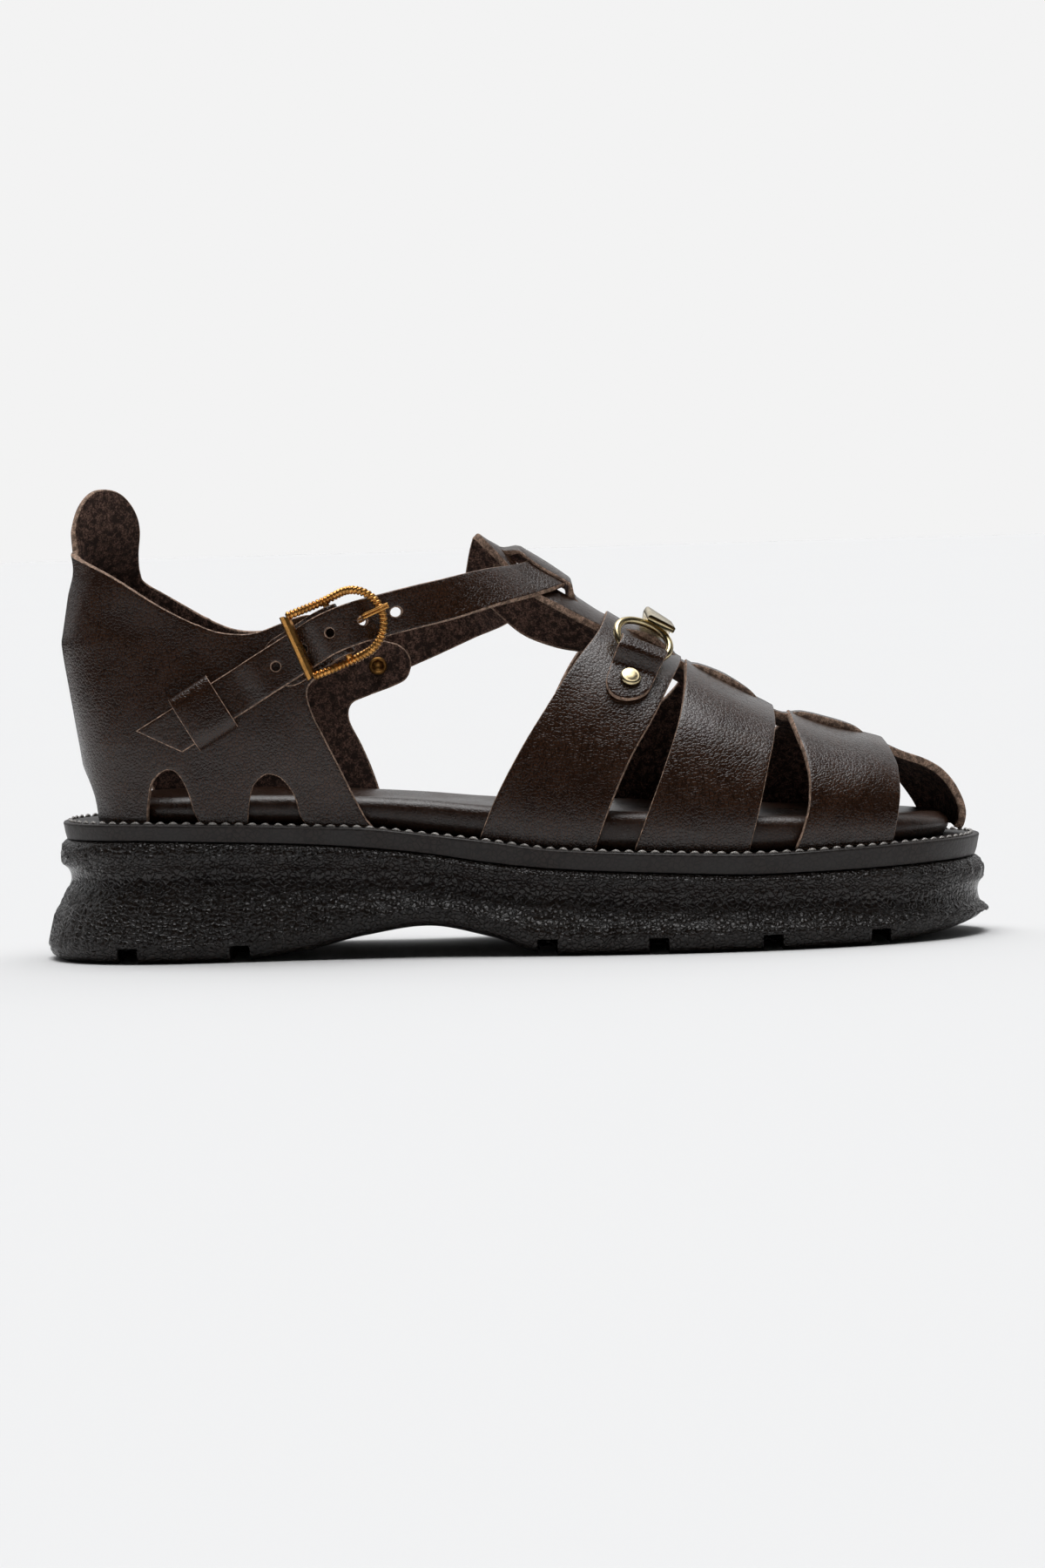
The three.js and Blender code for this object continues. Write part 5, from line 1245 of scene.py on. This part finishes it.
def finishes(context):
    """The three sides of a piece cut from hide: grain, cut edge, flesh."""
    hide = context.scene.sandal_hide
    grain = hide_finish("hide grain", tuple(hide.grain_colour), hide.grain_size, depth=0.00007, rough=0.2,
                        Specular_IOR_Level=0.52)
    cut = fibre_finish("cut edge", tuple(hide.edge_colour), shade(hide.edge_colour, 0.3), size=0.0005,
                       depth=0.00012, rough=0.75)
    flesh = fibre_finish("flesh side", tuple(hide.flesh_colour), shade(hide.flesh_colour, 0.16), size=0.0007,
                         depth=0.00025, rough=0.95, low=0.42, high=0.6)
    return grain, cut, flesh


# Settings a user would change

class SandalHide(bpy.types.PropertyGroup):
    grain_colour: bpy.props.FloatVectorProperty(
        name="Grain colour", description="Colour of the leather's grain side", subtype="COLOR", size=4,
        min=0, max=1, default=(0.033, 0.0138, 0.0068, 1))
    edge_colour: bpy.props.FloatVectorProperty(
        name="Cut edge colour", description="Colour of the raw cut edges", subtype="COLOR", size=4,
        min=0, max=1, default=(0.66, 0.44, 0.32, 1))
    flesh_colour: bpy.props.FloatVectorProperty(
        name="Flesh colour", description="Colour of the leather's rough inner side", subtype="COLOR", size=4,
        min=0, max=1, default=(0.26, 0.152, 0.116, 1))
    grain_size: bpy.props.FloatProperty(
        name="Grain size", description="Width of one pebble of the grain", subtype="DISTANCE", unit="LENGTH",
        min=0.0002, max=0.005, default=0.00095)
    thickness: bpy.props.FloatProperty(
        name="Leather thickness", description="Thickness of the bands and the counter", subtype="DISTANCE",
        unit="LENGTH", min=0.001, max=0.003, default=0.002)


class SandalSole(bpy.types.PropertyGroup):
    rubber_colour: bpy.props.FloatVectorProperty(
        name="Rubber colour", description="Colour of the outsole", subtype="COLOR", size=4,
        min=0, max=1, default=(0.012, 0.008, 0.006, 1))
    welt_colour: bpy.props.FloatVectorProperty(
        name="Welt colour", description="Colour of the welt plate", subtype="COLOR", size=4,
        min=0, max=1, default=(0.020, 0.014, 0.012, 1))
    pebble_size: bpy.props.FloatProperty(
        name="Pebble size", description="Width of one pebble of the outsole's rough bands",
        subtype="DISTANCE", unit="LENGTH", min=0.0005, max=0.006, default=0.0017)
    stitch_pitch: bpy.props.FloatProperty(
        name="Stitch pitch", description="Distance between the welt's stitches", subtype="DISTANCE",
        unit="LENGTH", min=0.002, max=0.01, default=0.0037)


class SandalMetal(bpy.types.PropertyGroup):
    gold_colour: bpy.props.FloatVectorProperty(
        name="Buckle colour", description="Colour of the buckle and the eyelet", subtype="COLOR", size=4,
        min=0, max=1, default=(0.74, 0.37, 0.105, 1))
    pale_colour: bpy.props.FloatVectorProperty(
        name="Bit colour", description="Colour of the bit and its rivets", subtype="COLOR", size=4,
        min=0, max=1, default=(0.72, 0.60, 0.36, 1))
    coil_pitch: bpy.props.FloatProperty(
        name="Coil pitch", description="Distance between the turns of wire on the buckle", subtype="DISTANCE",
        unit="LENGTH", min=0.0006, max=0.003, default=0.0012)


class SandalStage(bpy.types.PropertyGroup):
    backdrop: bpy.props.FloatProperty(
        name="Backdrop level", description="Brightness of the plain backdrop", min=0, max=1, default=0.896)
    focal_length: bpy.props.FloatProperty(
        name="Focal length", description="Focal length of the camera in millimetres",
        min=30, max=400, default=136)


# Pieces

def recess_boxes(name, reach, high, wide):
    """Upright boxes at the tread recesses; reach gives a box's two ends in Y at its place."""
    spans = []
    for x in TREAD_RECESSES:
        floor = float(SOLE_LEVELS("floor", x))
        low_y, high_y = reach(x)
        spans.append(((x - wide / 2, low_y, -2), (x + wide / 2, high_y, floor + high)))
    return boxes(name, spans)


def pebbled(obj, size, depth, strength):
    """Raises pebbles on a mesh along its normals; strength gives the share at each point."""
    mesh = obj.data
    spots = np.empty(len(mesh.vertices) * 3)
    normals = np.empty_like(spots)
    mesh.vertices.foreach_get("co", spots)
    mesh.vertices.foreach_get("normal", normals)
    spots, normals = spots.reshape(-1, 3), normals.reshape(-1, 3)
    heights = np.empty(len(spots))
    for k, spot in enumerate(spots):
        first, second = space_noise.voronoi(Vector(spot / size))[0][:2]
        heights[k] = min(0.5, second - first)
    raised = spots + normals * (depth * (heights - 0.2) * strength(spots / MM))[:, None]
    mesh.vertices.foreach_set("co", raised.ravel())
    mesh.update()


class SANDAL_OT_outsole(bpy.types.Operator):
    """Builds the rubber platform: pebbled bands, smooth groove and arched tread recesses"""
    bl_idname = "sandal.outsole"
    bl_label = "Outsole"

    def execute(self, context):
        sole = context.scene.sandal_sole
        floor, groove, top = level("floor"), level("groove"), level("welt_low", -GAP)
        # From the floor up: how far a ring is drawn in at the sides, the heel and the toe, and its height
        keys = [
            (4.4, 3.9, 6.2, floor),
            (2.0, 1.9, 2.6, level("floor", 0.9)),
            (0.6, 0.6, 0.7, level("floor", 2.6)),
            (0, 0, 0, lambda x: np.minimum(floor(x) + 5.6, groove(x) - 5)),
            (1.0, 1.9, 0.7, lambda x: groove(x) * 0.6 + floor(x) * 0.4 - 1.4),
            (4.0, 6.2, 2.4, level("groove", -2.6)),
            (4.7, 6.9, 3.0, groove),
            (4.4, 6.3, 2.7, level("groove", 2.2)),
            (2.9, 4.4, 1.4, level("groove", 4.6)),
            (2.6, 4.2, 1.3, lambda x: (groove(x) + 3.7 + top(x)) / 2 + 0.6),
            (3.6, 5.4, 3.0, level("welt_low", -GAP - 0.5)),
            (4.4, 6.2, 3.9, top),
        ]
        rubber = hide_finish("pebbled rubber", tuple(sole.rubber_colour), size=0.0014, depth=0.0004,
                             rough=0.13, Specular_IOR_Level=0.42)
        body = loft("outsole_rubber", dense_rings(keys, 0.8, 3.4), rubber)

        def strength(spots):
            above_floor = spots[:, 2] - SOLE_LEVELS("floor", spots[:, 0])
            from_groove = np.abs(spots[:, 2] - SOLE_LEVELS("groove", spots[:, 0]) - 0.3)
            under_top = SOLE_LEVELS("welt_low", spots[:, 0]) - spots[:, 2]
            return smooth(0.8, 2.5, above_floor) * smooth(2.6, 4.2, from_groove) * smooth(0.6, 1.6, under_top)

        pebbled(body, sole.pebble_size, 0.0011, strength)

        def near_reach(x):
            return -PAST_SOLE, RECESS["depth"] - float(half_width("lateral", x))

        def far_reach(x):
            return float(half_width("medial", x)) - RECESS["depth"], PAST_SOLE

        high, wide = RECESS["height"], RECESS["width"]
        carve(body, [
            recess_boxes("channels", lambda x: (-PAST_SOLE, PAST_SOLE), RECESS["channel"], wide - 1),
            recess_boxes("near recesses", near_reach, high, wide),
            recess_boxes("far recesses", far_reach, high, wide),
        ])
        keep(body, "rubber", "outsole")
        return {"FINISHED"}


class SANDAL_OT_welt(bpy.types.Operator):
    """Builds the welt plate with its row of stitches"""
    bl_idname = "sandal.welt"
    bl_label = "Welt and stitches"

    def execute(self, context):
        sole = context.scene.sandal_sole
        low, top = level("welt_low"), level("welt_top")
        keys = [
            (4.1, 6.0, 3.6, low), (4.05, 5.95, 3.5, level("welt_low", 0.15)),
            (3.7, 5.6, 3.0, level("welt_low", 1.6)), (3.25, 5.2, 2.3, level("welt_top", -0.9)),
            (3.2, 5.1, 2.2, level("welt_top", -0.45)), (3.35, 5.3, 2.35, level("welt_top", -0.1)),
            (3.6, 5.6, 2.6, top), (9, 11, 9, top), (20, 22, 20, top),
        ]
        plate = hide_finish("welt leather", tuple(sole.welt_colour), size=0.0016, depth=0.00006, rough=0.5,
                            Specular_IOR_Level=0.4)
        body = loft("welt_plate", dense_rings(keys, 1.6, 1.8), plate)
        keep(body, "welt", "welt")
        keep(joined("welt_stitches", self.stitches(sole.stitch_pitch / MM)), "welt")
        return {"FINISHED"}

    def stitches(self, pitch):
        """Short humps of thread round the welt's edge, thin where they go into their holes."""
        # Painted highlight: the thread is dark, but its colour is painted pale to stand for the glints on its
        # humps
        thread = hide_finish("waxed thread", (0.42, 0.39, 0.36, 1), size=0.0005, depth=0.00006, rough=0.16,
                             Specular_IOR_Level=0.9)
        path = sole_ring(5.0, 7.0, 4.4, level("welt_top", 0.1), fine=3.0)
        length = run_length(path)
        steps = np.linspace(-1, 1, STITCH["steps"])
        hump = STITCH["rise"] * np.cos(steps * 1.45) - STITCH["sink"]
        thick = STITCH["radius"] * np.cos(steps * 1.32)
        half = STITCH["half_run"]
        pieces = []
        for at in np.arange(2, length[-1] - 2, pitch):
            run = at + np.linspace(-half, half, STITCH["steps"]) * pitch
            spots = np.stack([np.interp(run, length, path[:, k]) for k in range(3)], -1)
            spots[:, 2] += hump
            pieces.append(sweep("stitch", spots, lambda at, turn: thick[:, None] + 0 * turn, thread, 8))
        return pieces


class SANDAL_OT_footbed(bpy.types.Operator):
    """Builds the leather-covered footbed"""
    bl_idname = "sandal.footbed"
    bl_label = "Footbed"

    def execute(self, context):
        low, top = level("welt_top", GAP), level("bed")

        def dish(x):
            return 1.6 * (1 - smooth(-70, 10, x)) + 0.5

        keys = [
            (12.4, 17.2, 12.4, low), (11.2, 15.8, 11.4, level("welt_top", GAP + 1.6)),
            (10.8, 15.3, 10.9, lambda x: (low(x) + top(x)) / 2), (11.3, 15.6, 11.5, level("bed", -1.5)),
            (13.2, 17.8, 13.4, level("bed", -0.2)), (16.5, 21.6, 17, top),
            (23, 28.6, 24, lambda x: top(x) - dish(x)), (26, 31.6, 27, lambda x: top(x) - dish(x) - 0.2),
        ]
        hide = context.scene.sandal_hide
        cover = hide_finish("footbed leather", shade(hide.grain_colour, 0.95), size=0.0009, depth=0.00005,
                            rough=0.3)
        body = loft("footbed_cover", dense_rings(keys, 1.6, 1.2, FOOTBED_HEEL_ROUND), cover)
        keep(body, "footbed", "footbed")
        return {"FINISHED"}


class SANDAL_OT_cage(bpy.types.Operator):
    """Cuts the three bands over the foot and the threaded centre strip"""
    bl_idname = "sandal.cage"
    bl_label = "Cage bands and centre strip"

    def execute(self, context):
        sides = finishes(context)
        thick = context.scene.sandal_hide.thickness / MM
        outline = oblong(0, 0, BAND_WIDTH, BAND_SPAN)
        for k, (name, (rear, front, inner)) in enumerate(BANDS.items()):
            place = band_place(rear, front, inner)
            body = cut_hide(f"{name}_band", [outline], place, thick, sides, seed=k + 3)
            keep(body, "leather", "vamp_cage")
        keep(self.centre_strip(sides), "leather")
        return {"FINISHED"}

    def centre_strip(self, sides):
        """The strip along the ridge, with two slits that free its bridge."""
        place, thick, rows_at = strip_place()
        start, end = np.interp([BRIDGE["rear"], BRIDGE["front"]], np.arange(len(rows_at)), rows_at)
        outline = rounded(oblong(0, 0, rows_at[-1], STRIP_WIDE), 2.0)
        slits = []
        for share in (BRIDGE["near"], BRIDGE["far"]):
            y = share * STRIP_WIDE
            slits.append(oblong(start, y - SLIT_HALF, end, y + SLIT_HALF))
        return cut_hide("centre_strip", [outline] + slits, place, thick, sides, edge=0.3, seed=9)


class SANDAL_OT_counter(bpy.types.Operator):
    """Cuts the heel counter with its pull tab and arches"""
    bl_idname = "sandal.counter"
    bl_label = "Heel counter"

    def execute(self, context):
        thick = context.scene.sandal_hide.thickness / MM
        body = cut_hide("counter_shell", [counter_outline()], as_place(counter_surface, -1), thick,
                        finishes(context), seed=21)
        keep(body, "leather", "heel_counter")
        return {"FINISHED"}


class SANDAL_OT_strap(bpy.types.Operator):
    """Cuts the ankle strap, the buckle's chape and the keeper"""
    bl_idname = "sandal.strap"
    bl_label = "Ankle strap, chape and keeper"

    def execute(self, context):
        sides = finishes(context)
        keep(self.strap(sides), "leather", "ankle_strap")
        keep(self.chape(sides), "leather", "buckle_chape")
        keep(self.keeper(sides), "leather", "strap_keeper")
        return {"FINISHED"}

    def strap(self, sides):
        """The strap from its slanted tail to its round end, with its row of holes."""
        half = STRAP_WIDTH / 2
        tail = -BAR_DISTANCE + 0.3
        end = SEAT_LENGTH - BAR_DISTANCE - 0.2
        outline = [(tail + STRAP_TAIL_SLANT - 1.2, -half), (end - half, -half)]
        outline += [(end - half + half * math.sin(t), -half * math.cos(t)) for t in np.linspace(0.2, 2.9, 12)]
        outline += [(end - half, half), (tail + 0.6, half)]
        holes = [circle(at, 0, STRAP_HOLE_RADIUS) for at in STRAP_HOLES]
        return cut_hide("strap_leather", [outline] + holes, as_place(strap_surface), STRAP_THICK, sides,
                        grid=1.1, uneven=0.08, seed=31)

    def chape(self, sides):
        """The plate under the strap, folded round the buckle's centre bar, with a slot for the prong."""
        surface, length = path_surface(chape_path())
        half = CHAPE["width"] / 2
        left = [(half - half * math.sin(t), half * math.cos(t)) for t in np.linspace(0.1, 3.04, 14)]
        outline = left + [(length, -half), (length, half)]
        slot = oblong(CHAPE_SLOT["from"], -CHAPE_SLOT["half"], CHAPE_SLOT["to"], CHAPE_SLOT["half"])
        outlines = [outline, rounded(slot, 1.2)]
        return cut_hide("chape_leather", outlines, as_place(surface), CHAPE["thick"], sides,
                        edge=0.25, grid=0.8, rim=0.5, uneven=0.03, seed=33)

    def keeper(self, sides):
        """The loop over the strap's tail."""
        half = KEEPER["length"] / 2
        outline = rounded(oblong(0.4, -half, KEEPER_SPAN - 0.4, half), 1.0)
        return cut_hide("keeper_loop", [outline], as_place(keeper_surface, -1), KEEPER["thick"], sides,
                        edge=0.3, grid=0.8, rim=0.5, uneven=0.05, seed=35)


def on_buckle(d, across, lift):
    """A point of the buckle, which lies flat in the frame of its centre bar."""
    point, along, side, normal = seat_frame(0.0)
    return (point + along * np.asarray(d, float)[..., None] + side * np.asarray(across, float)[..., None]
            + normal * np.asarray(lift, float)[..., None])


def buckle_bow(d):
    """How the buckle's sides rise from its centre bar to both ends."""
    dip = np.cos(np.minimum(1, np.abs(d) / 13) * np.pi / 2)
    return BUCKLE["end_lift"] - (BUCKLE["end_lift"] - BUCKLE["bar_lift"]) * dip ** 2


class SANDAL_OT_buckle(bpy.types.Operator):
    """Builds the buckle: a flat rear bar, a frame wound with wire, its centre bar and the prong"""
    bl_idname = "sandal.buckle"
    bl_label = "Buckle"

    def execute(self, context):
        metal = context.scene.sandal_metal
        gold = metal_finish("buckle gold", tuple(metal.gold_colour), 0.3)
        half = BUCKLE["width"] / 2 - WIRE_RADIUS
        rear = BUCKLE["left_bar"]
        front = BUCKLE["length"] + rear - WIRE_RADIUS - half
        turn = np.linspace(np.pi / 2, -np.pi / 2, 260)
        side = np.linspace(rear + 0.6, front, 160)[:-1]
        d = np.concatenate([side, front + half * np.cos(turn), side[::-1]])
        across = np.concatenate([np.full(len(side), half), half * np.sin(turn), np.full(len(side), -half)])
        pitch = metal.coil_pitch / MM

        def wound(at, turned_by):
            share = (at / pitch + turned_by / (2 * np.pi)) % 1.0
            return 0.5 + 0.75 * np.sqrt(np.clip(1 - (2 * share - 1) ** 2, 0, 1))

        coil = sweep("buckle_coil", on_buckle(d, across, buckle_bow(d)), wound, gold, 18)
        bars = [self.rear_bar(gold, rear, half)]
        bar_at = np.linspace(-half, half, 12)
        bars.append(sweep("buckle_centre_bar", on_buckle(0 * bar_at, bar_at, 0 * bar_at + BUCKLE["bar_lift"]),
                          BAR_RADIUS, gold, 16))
        keep(joined("buckle_frame_wound", [coil] + bars), "gold", "buckle_frame")
        keep(self.prong(gold), "gold", "buckle_prong")
        return {"FINISHED"}

    def rear_bar(self, gold, rear, half):
        """The flat bar at the rear, bevelled, with ends cut on the slant to meet the wound sides."""
        section = [(-1.5, -0.7), (-1.0, 0.75), (0.0, 1.05), (1.0, 0.75), (1.5, -0.7)]
        rows = []
        for share in np.linspace(-1, 1, 15):
            out = half + 0.4
            d = np.array([rear + a for a, _ in section])
            slant = np.array([a for a, _ in section])
            across = share * (out - np.maximum(0, slant + 0.2) * 0.9)
            lift = BUCKLE["end_lift"] + np.array([b for _, b in section])
            rows.append(on_buckle(d, across, lift))
        body = bar("buckle_rear_bar", rows, gold)
        body.data.polygons.foreach_set("use_smooth", np.zeros(len(body.data.polygons), bool))
        return body

    def prong(self, gold):
        """Two strands of one bent wire, up through the strap's hole and over the frame's end."""
        over = BUCKLE["end_lift"] + WIRE_RADIUS + GAP + 0.36
        hole = PRONG["hole"]
        line = through([
            (0.8, 4.55), (3.0, 4.5), (hole - 1.2, 4.1), (hole - 0.2, 4.6), (hole + 0.1, 6.5),
            (hole + 0.3, over - 1.4), (hole + 0.9, over - 0.2), (hole + 2.2, over + 0.05),
            (13.4, over + 0.1), (15.4, over), (PRONG["tip"], over - 0.1),
        ])
        strands = []
        for across in (-0.42, 0.42):
            spots = on_buckle(line[:, 0], np.full(len(line), across), line[:, 1])
            strands.append(sweep("prong_strand", spots, 0.4, gold, 12))
        return joined("buckle_prong_wire", strands)


class SANDAL_OT_bit(bpy.types.Operator):
    """Builds the bit over the instep: two rings, the link, two riveted tabs and the strap's eyelet"""
    bl_idname = "sandal.bit"
    bl_label = "Bit, tabs and rivets"

    def execute(self, context):
        metal = context.scene.sandal_metal
        pale = metal_finish("bit gold", tuple(metal.pale_colour), 0.2, 0.7)
        sides = finishes(context)
        for side in ("lateral", "medial"):
            keep(self.ring(side, pale), "pale_gold", f"bit_ring_{side}")
            keep(self.tab(side, sides), "leather", f"bit_tab_{side}")
            keep(self.rivet(side, pale), "pale_gold", f"bit_rivet_{side}")
        keep(self.link(pale), "pale_gold", "bit_link")
        self.eyelet(metal_finish("aged brass", shade(metal.gold_colour, 0.45), 0.42))
        return {"FINISHED"}

    def rivet(self, side, pale):
        """A rivet's domed head on its tab."""
        seat = bit_tab_points(side, np.array([BIT_TAB["rivet"]]), np.array([0.0]), 0.0)[0]
        normal = on_last(np.array([seat[0]]), np.array([seat[1]]))[1][0]
        low = 2 * GAP + BIT_TAB["thick"]
        dome = [(RIVET_RADIUS * out, low + RIVET_DOME * up) for out, up in RIVET_PROFILE]
        profile = [(0.02, low)] + dome + [(0.02, low + RIVET_DOME)]
        return turned(f"bit_rivet_dome_{side}", seat, normal, profile, pale)

    def ring(self, side, pale):
        """A ring of round wire, leaning on the foot, its two ends bent up a little."""
        point, along, down, normal = bit_frame(RING[side])
        turn = np.linspace(0, 2 * np.pi, 97)[:-1]
        path = (point + along * (RING["half_length"] * np.cos(turn))[:, None]
                + down * (RING["half_width"] * np.sin(turn))[:, None]
                + normal * (RING["lift"] - RING["lean"] * np.sin(turn)
                            + RING["bend"] * np.cos(2 * turn))[:, None])
        return sweep(f"bit_ring_wire_{side}", path, RING["wire"], pale, 18, closed=True)

    def tab(self, side, sides):
        """The tab that holds a ring, with its round lower end."""
        half = BIT_TAB["width"] / 2
        bottom = BIT_TAB["bottom"]
        end = [(half * math.cos(t), bottom - half + half * math.sin(t)) for t in np.linspace(0, np.pi, 16)]
        outline = [(-half, -1.4), (half, -1.4)] + end
        flip = 1 if side == "lateral" else -1
        place = as_place(bit_tab_surface(side), -flip)
        return cut_hide(f"bit_tab_leather_{side}", [outline], place, BIT_TAB["thick"], sides,
                        edge=0.3, grid=0.8, rim=0.5, uneven=0.05, seed=41)

    def link(self, pale):
        """A flat bar over the ridge, its top face edged with a small bevel."""
        half, thick = LINK["width"] / 2, LINK["thick"]
        section = [
            (-half, 0.3), (-half, thick - 0.4), (-half + 0.35, thick - 0.05), (-half + 0.9, thick),
            (0, thick + 0.05), (half - 0.9, thick), (half - 0.35, thick - 0.05), (half, thick - 0.4),
            (half, 0.3), (half - 0.3, 0), (-half + 0.3, 0),
        ]
        rows = []
        middle = (LINK["near"] + LINK["far"]) / 2
        for y in np.linspace(LINK["near"], LINK["far"], 40):
            xs = LINK["x"] + np.array([a for a, _ in section])
            to_end = abs(y - middle) / (LINK["far"] - middle)
            lifts = mix(LINK["lift"], LINK["end_lift"], to_end ** 2) + GAP + np.array([b for _, b in section])
            rows.append(on_last(xs, np.full(len(xs), y), lifts)[0])
        return bar("bit_link_bar", rows, pale)

    def eyelet(self, gold):
        """The strap's fixing, seen inside the collar: a rolled ring round a dark centre."""
        seat, normal = on_counter("medial", EYELET["x"], EYELET["z"])
        start = seat - normal * 2.0
        profile = [
            (0.02, GAP), (2.5, GAP), (2.65, GAP + 0.3), (2.5, GAP + 0.7), (2.1, GAP + 0.9), (1.7, GAP + 0.75),
            (1.45, GAP + 0.3), (1.4, GAP + 0.1), (0.02, GAP + 0.1),
        ]
        keep(turned("strap_eyelet", start, -normal, profile, gold), "gold", "strap_rivet")


class SANDAL_OT_stage(bpy.types.Operator):
    """Sets the floor, the studio light and the camera"""
    bl_idname = "sandal.stage"
    bl_label = "Stage"

    def execute(self, context):
        stage = context.scene.sandal_stage
        context.scene.view_settings.view_transform = "Standard"
        self.camera(context, stage.focal_length)
        self.floor()
        self.world(context, stage.backdrop)
        self.lamp(context)
        return {"FINISHED"}

    def camera(self, context, focal_length):
        roll, rise = math.radians(CAMERA["roll"]), math.radians(CAMERA["rise"])
        back = Vector((0, -math.cos(rise), math.sin(rise)))
        right = Vector((1, 0, 0))
        up = back.cross(right)
        turned_right = right * math.cos(roll) - up * math.sin(roll)
        turned_up = right * math.sin(roll) + up * math.cos(roll)
        lens = bpy.data.cameras.new("camera")
        lens.lens = focal_length
        lens.sensor_width = 36
        lens.clip_end = 50
        view = bpy.data.objects.new("camera", lens)
        turn = Matrix((turned_right, turned_up, back)).transposed()
        view.matrix_world = Matrix.Translation(Vector(CAMERA["place"]) * MM) @ turn.to_4x4()
        context.scene.collection.objects.link(view)
        context.scene.camera = view

    def floor(self):
        reach = 9.0
        spots = [(-reach, -reach, 0), (reach, -reach, 0), (reach, reach, 0), (-reach, reach, 0)]

        def paper(tree):
            coords = add(tree, "TexCoord").outputs["Object"]
            tone = noise(tree, coords, 3.0, 2.0)
            white = blend(tree, tone, (0.76, 0.76, 0.76, 1), (0.766, 0.766, 0.766, 1))
            # Painted shade: in reflections the floor is painted nearly black from 0.7 m out from its middle,
            # fully by 1.25 m, while the camera still sees it pale
            away = add(tree, "VectorMath", {0: coords}, operation="LENGTH").outputs["Value"]
            reflected_floor_shade = calc(tree, "MULTIPLY", ramp(tree, away, 0.7, 1.25),
                           add(tree, "LightPath").outputs["Is Glossy Ray"])
            return {"Base Color": blend(tree, reflected_floor_shade, white, (0.02, 0.02, 0.02, 1))}

        white = finish("floor paper", paper, Roughness=1.0, Specular_IOR_Level=0.0)
        ground = make_object("floor", np.array(spots) / MM, [(0, 1, 2, 3)], [white])

    def world(self, context, backdrop):
        world = bpy.data.worlds.new("studio")
        world.use_nodes = True
        tree = world.node_tree
        tree.nodes.clear()
        way = add(tree, "SeparateXYZ", {0: add(tree, "TexCoord").outputs["Generated"]}).outputs
        overhead = ramp(tree, way["Z"], 0.86, 1.0)
        behind = calc(tree, "MULTIPLY", ramp(tree, way["Y"], 0.0, 0.7), ramp(tree, way["Z"], -0.05, 0.3))
        low_front = calc(tree, "MULTIPLY", ramp(tree, way["Y"], -0.3, -0.8), ramp(tree, way["Z"], 0.2, 0.0))
        light = STUDIO["all_round"]
        for name, part in (("overhead", overhead), ("behind", behind), ("low_front", low_front)):
            light = calc(tree, "ADD", calc(tree, "MULTIPLY", part, STUDIO[name]), light)
        lit = add(tree, "Background", {"Color": (0.985, 0.99, 1.0, 1), "Strength": light})
        plain = add(tree, "Background", {"Color": (1, 1, 1, 1), "Strength": backdrop})
        seen = add(tree, "LightPath").outputs["Is Camera Ray"]
        both = add(tree, "MixShader", {0: seen, 1: lit.outputs[0], 2: plain.outputs[0]})
        out = add(tree, "OutputWorld")
        tree.links.new(both.outputs[0], out.inputs[0])
        context.scene.world = world

    def lamp(self, context):
        """One wide, weak lamp that gives the shoe its soft shadow."""
        light = bpy.data.lights.new("overhead", "SUN")
        light.energy = 0.6
        light.angle = math.radians(50)
        obj = bpy.data.objects.new("overhead", light)
        obj.rotation_euler = (-0.35, -0.2, 0)
        context.scene.collection.objects.link(obj)


class SANDAL_PT_pieces(bpy.types.Panel):
    bl_label = "Cage sandal"
    bl_idname = "SANDAL_PT_pieces"
    bl_space_type = "VIEW_3D"
    bl_region_type = "UI"
    bl_category = "Sandal"

    def draw(self, context):
        for operator in PIECES:
            self.layout.operator(operator.bl_idname)
        for name, group in SETTINGS.items():
            for key in group.__annotations__:
                self.layout.prop(getattr(context.scene, name), key)


PIECES = (
    SANDAL_OT_stage, SANDAL_OT_outsole, SANDAL_OT_welt, SANDAL_OT_footbed, SANDAL_OT_cage, SANDAL_OT_counter,
    SANDAL_OT_strap, SANDAL_OT_buckle, SANDAL_OT_bit,
)
SETTINGS = {
    "sandal_hide": SandalHide, "sandal_sole": SandalSole, "sandal_metal": SandalMetal,
    "sandal_stage": SandalStage,
}


def register():
    for kind in (*SETTINGS.values(), *PIECES, SANDAL_PT_pieces):
        bpy.utils.register_class(kind)
    for name, group in SETTINGS.items():
        setattr(bpy.types.Scene, name, bpy.props.PointerProperty(type=group))


def unregister():
    for name in SETTINGS:
        delattr(bpy.types.Scene, name)
    for kind in (SANDAL_PT_pieces, *reversed(PIECES), *SETTINGS.values()):
        bpy.utils.unregister_class(kind)


def main():
    register()
    for operator in PIECES:
        group, name = operator.bl_idname.split(".")
        getattr(getattr(bpy.ops, group), name)()


if __name__ == "__main__":
    main()
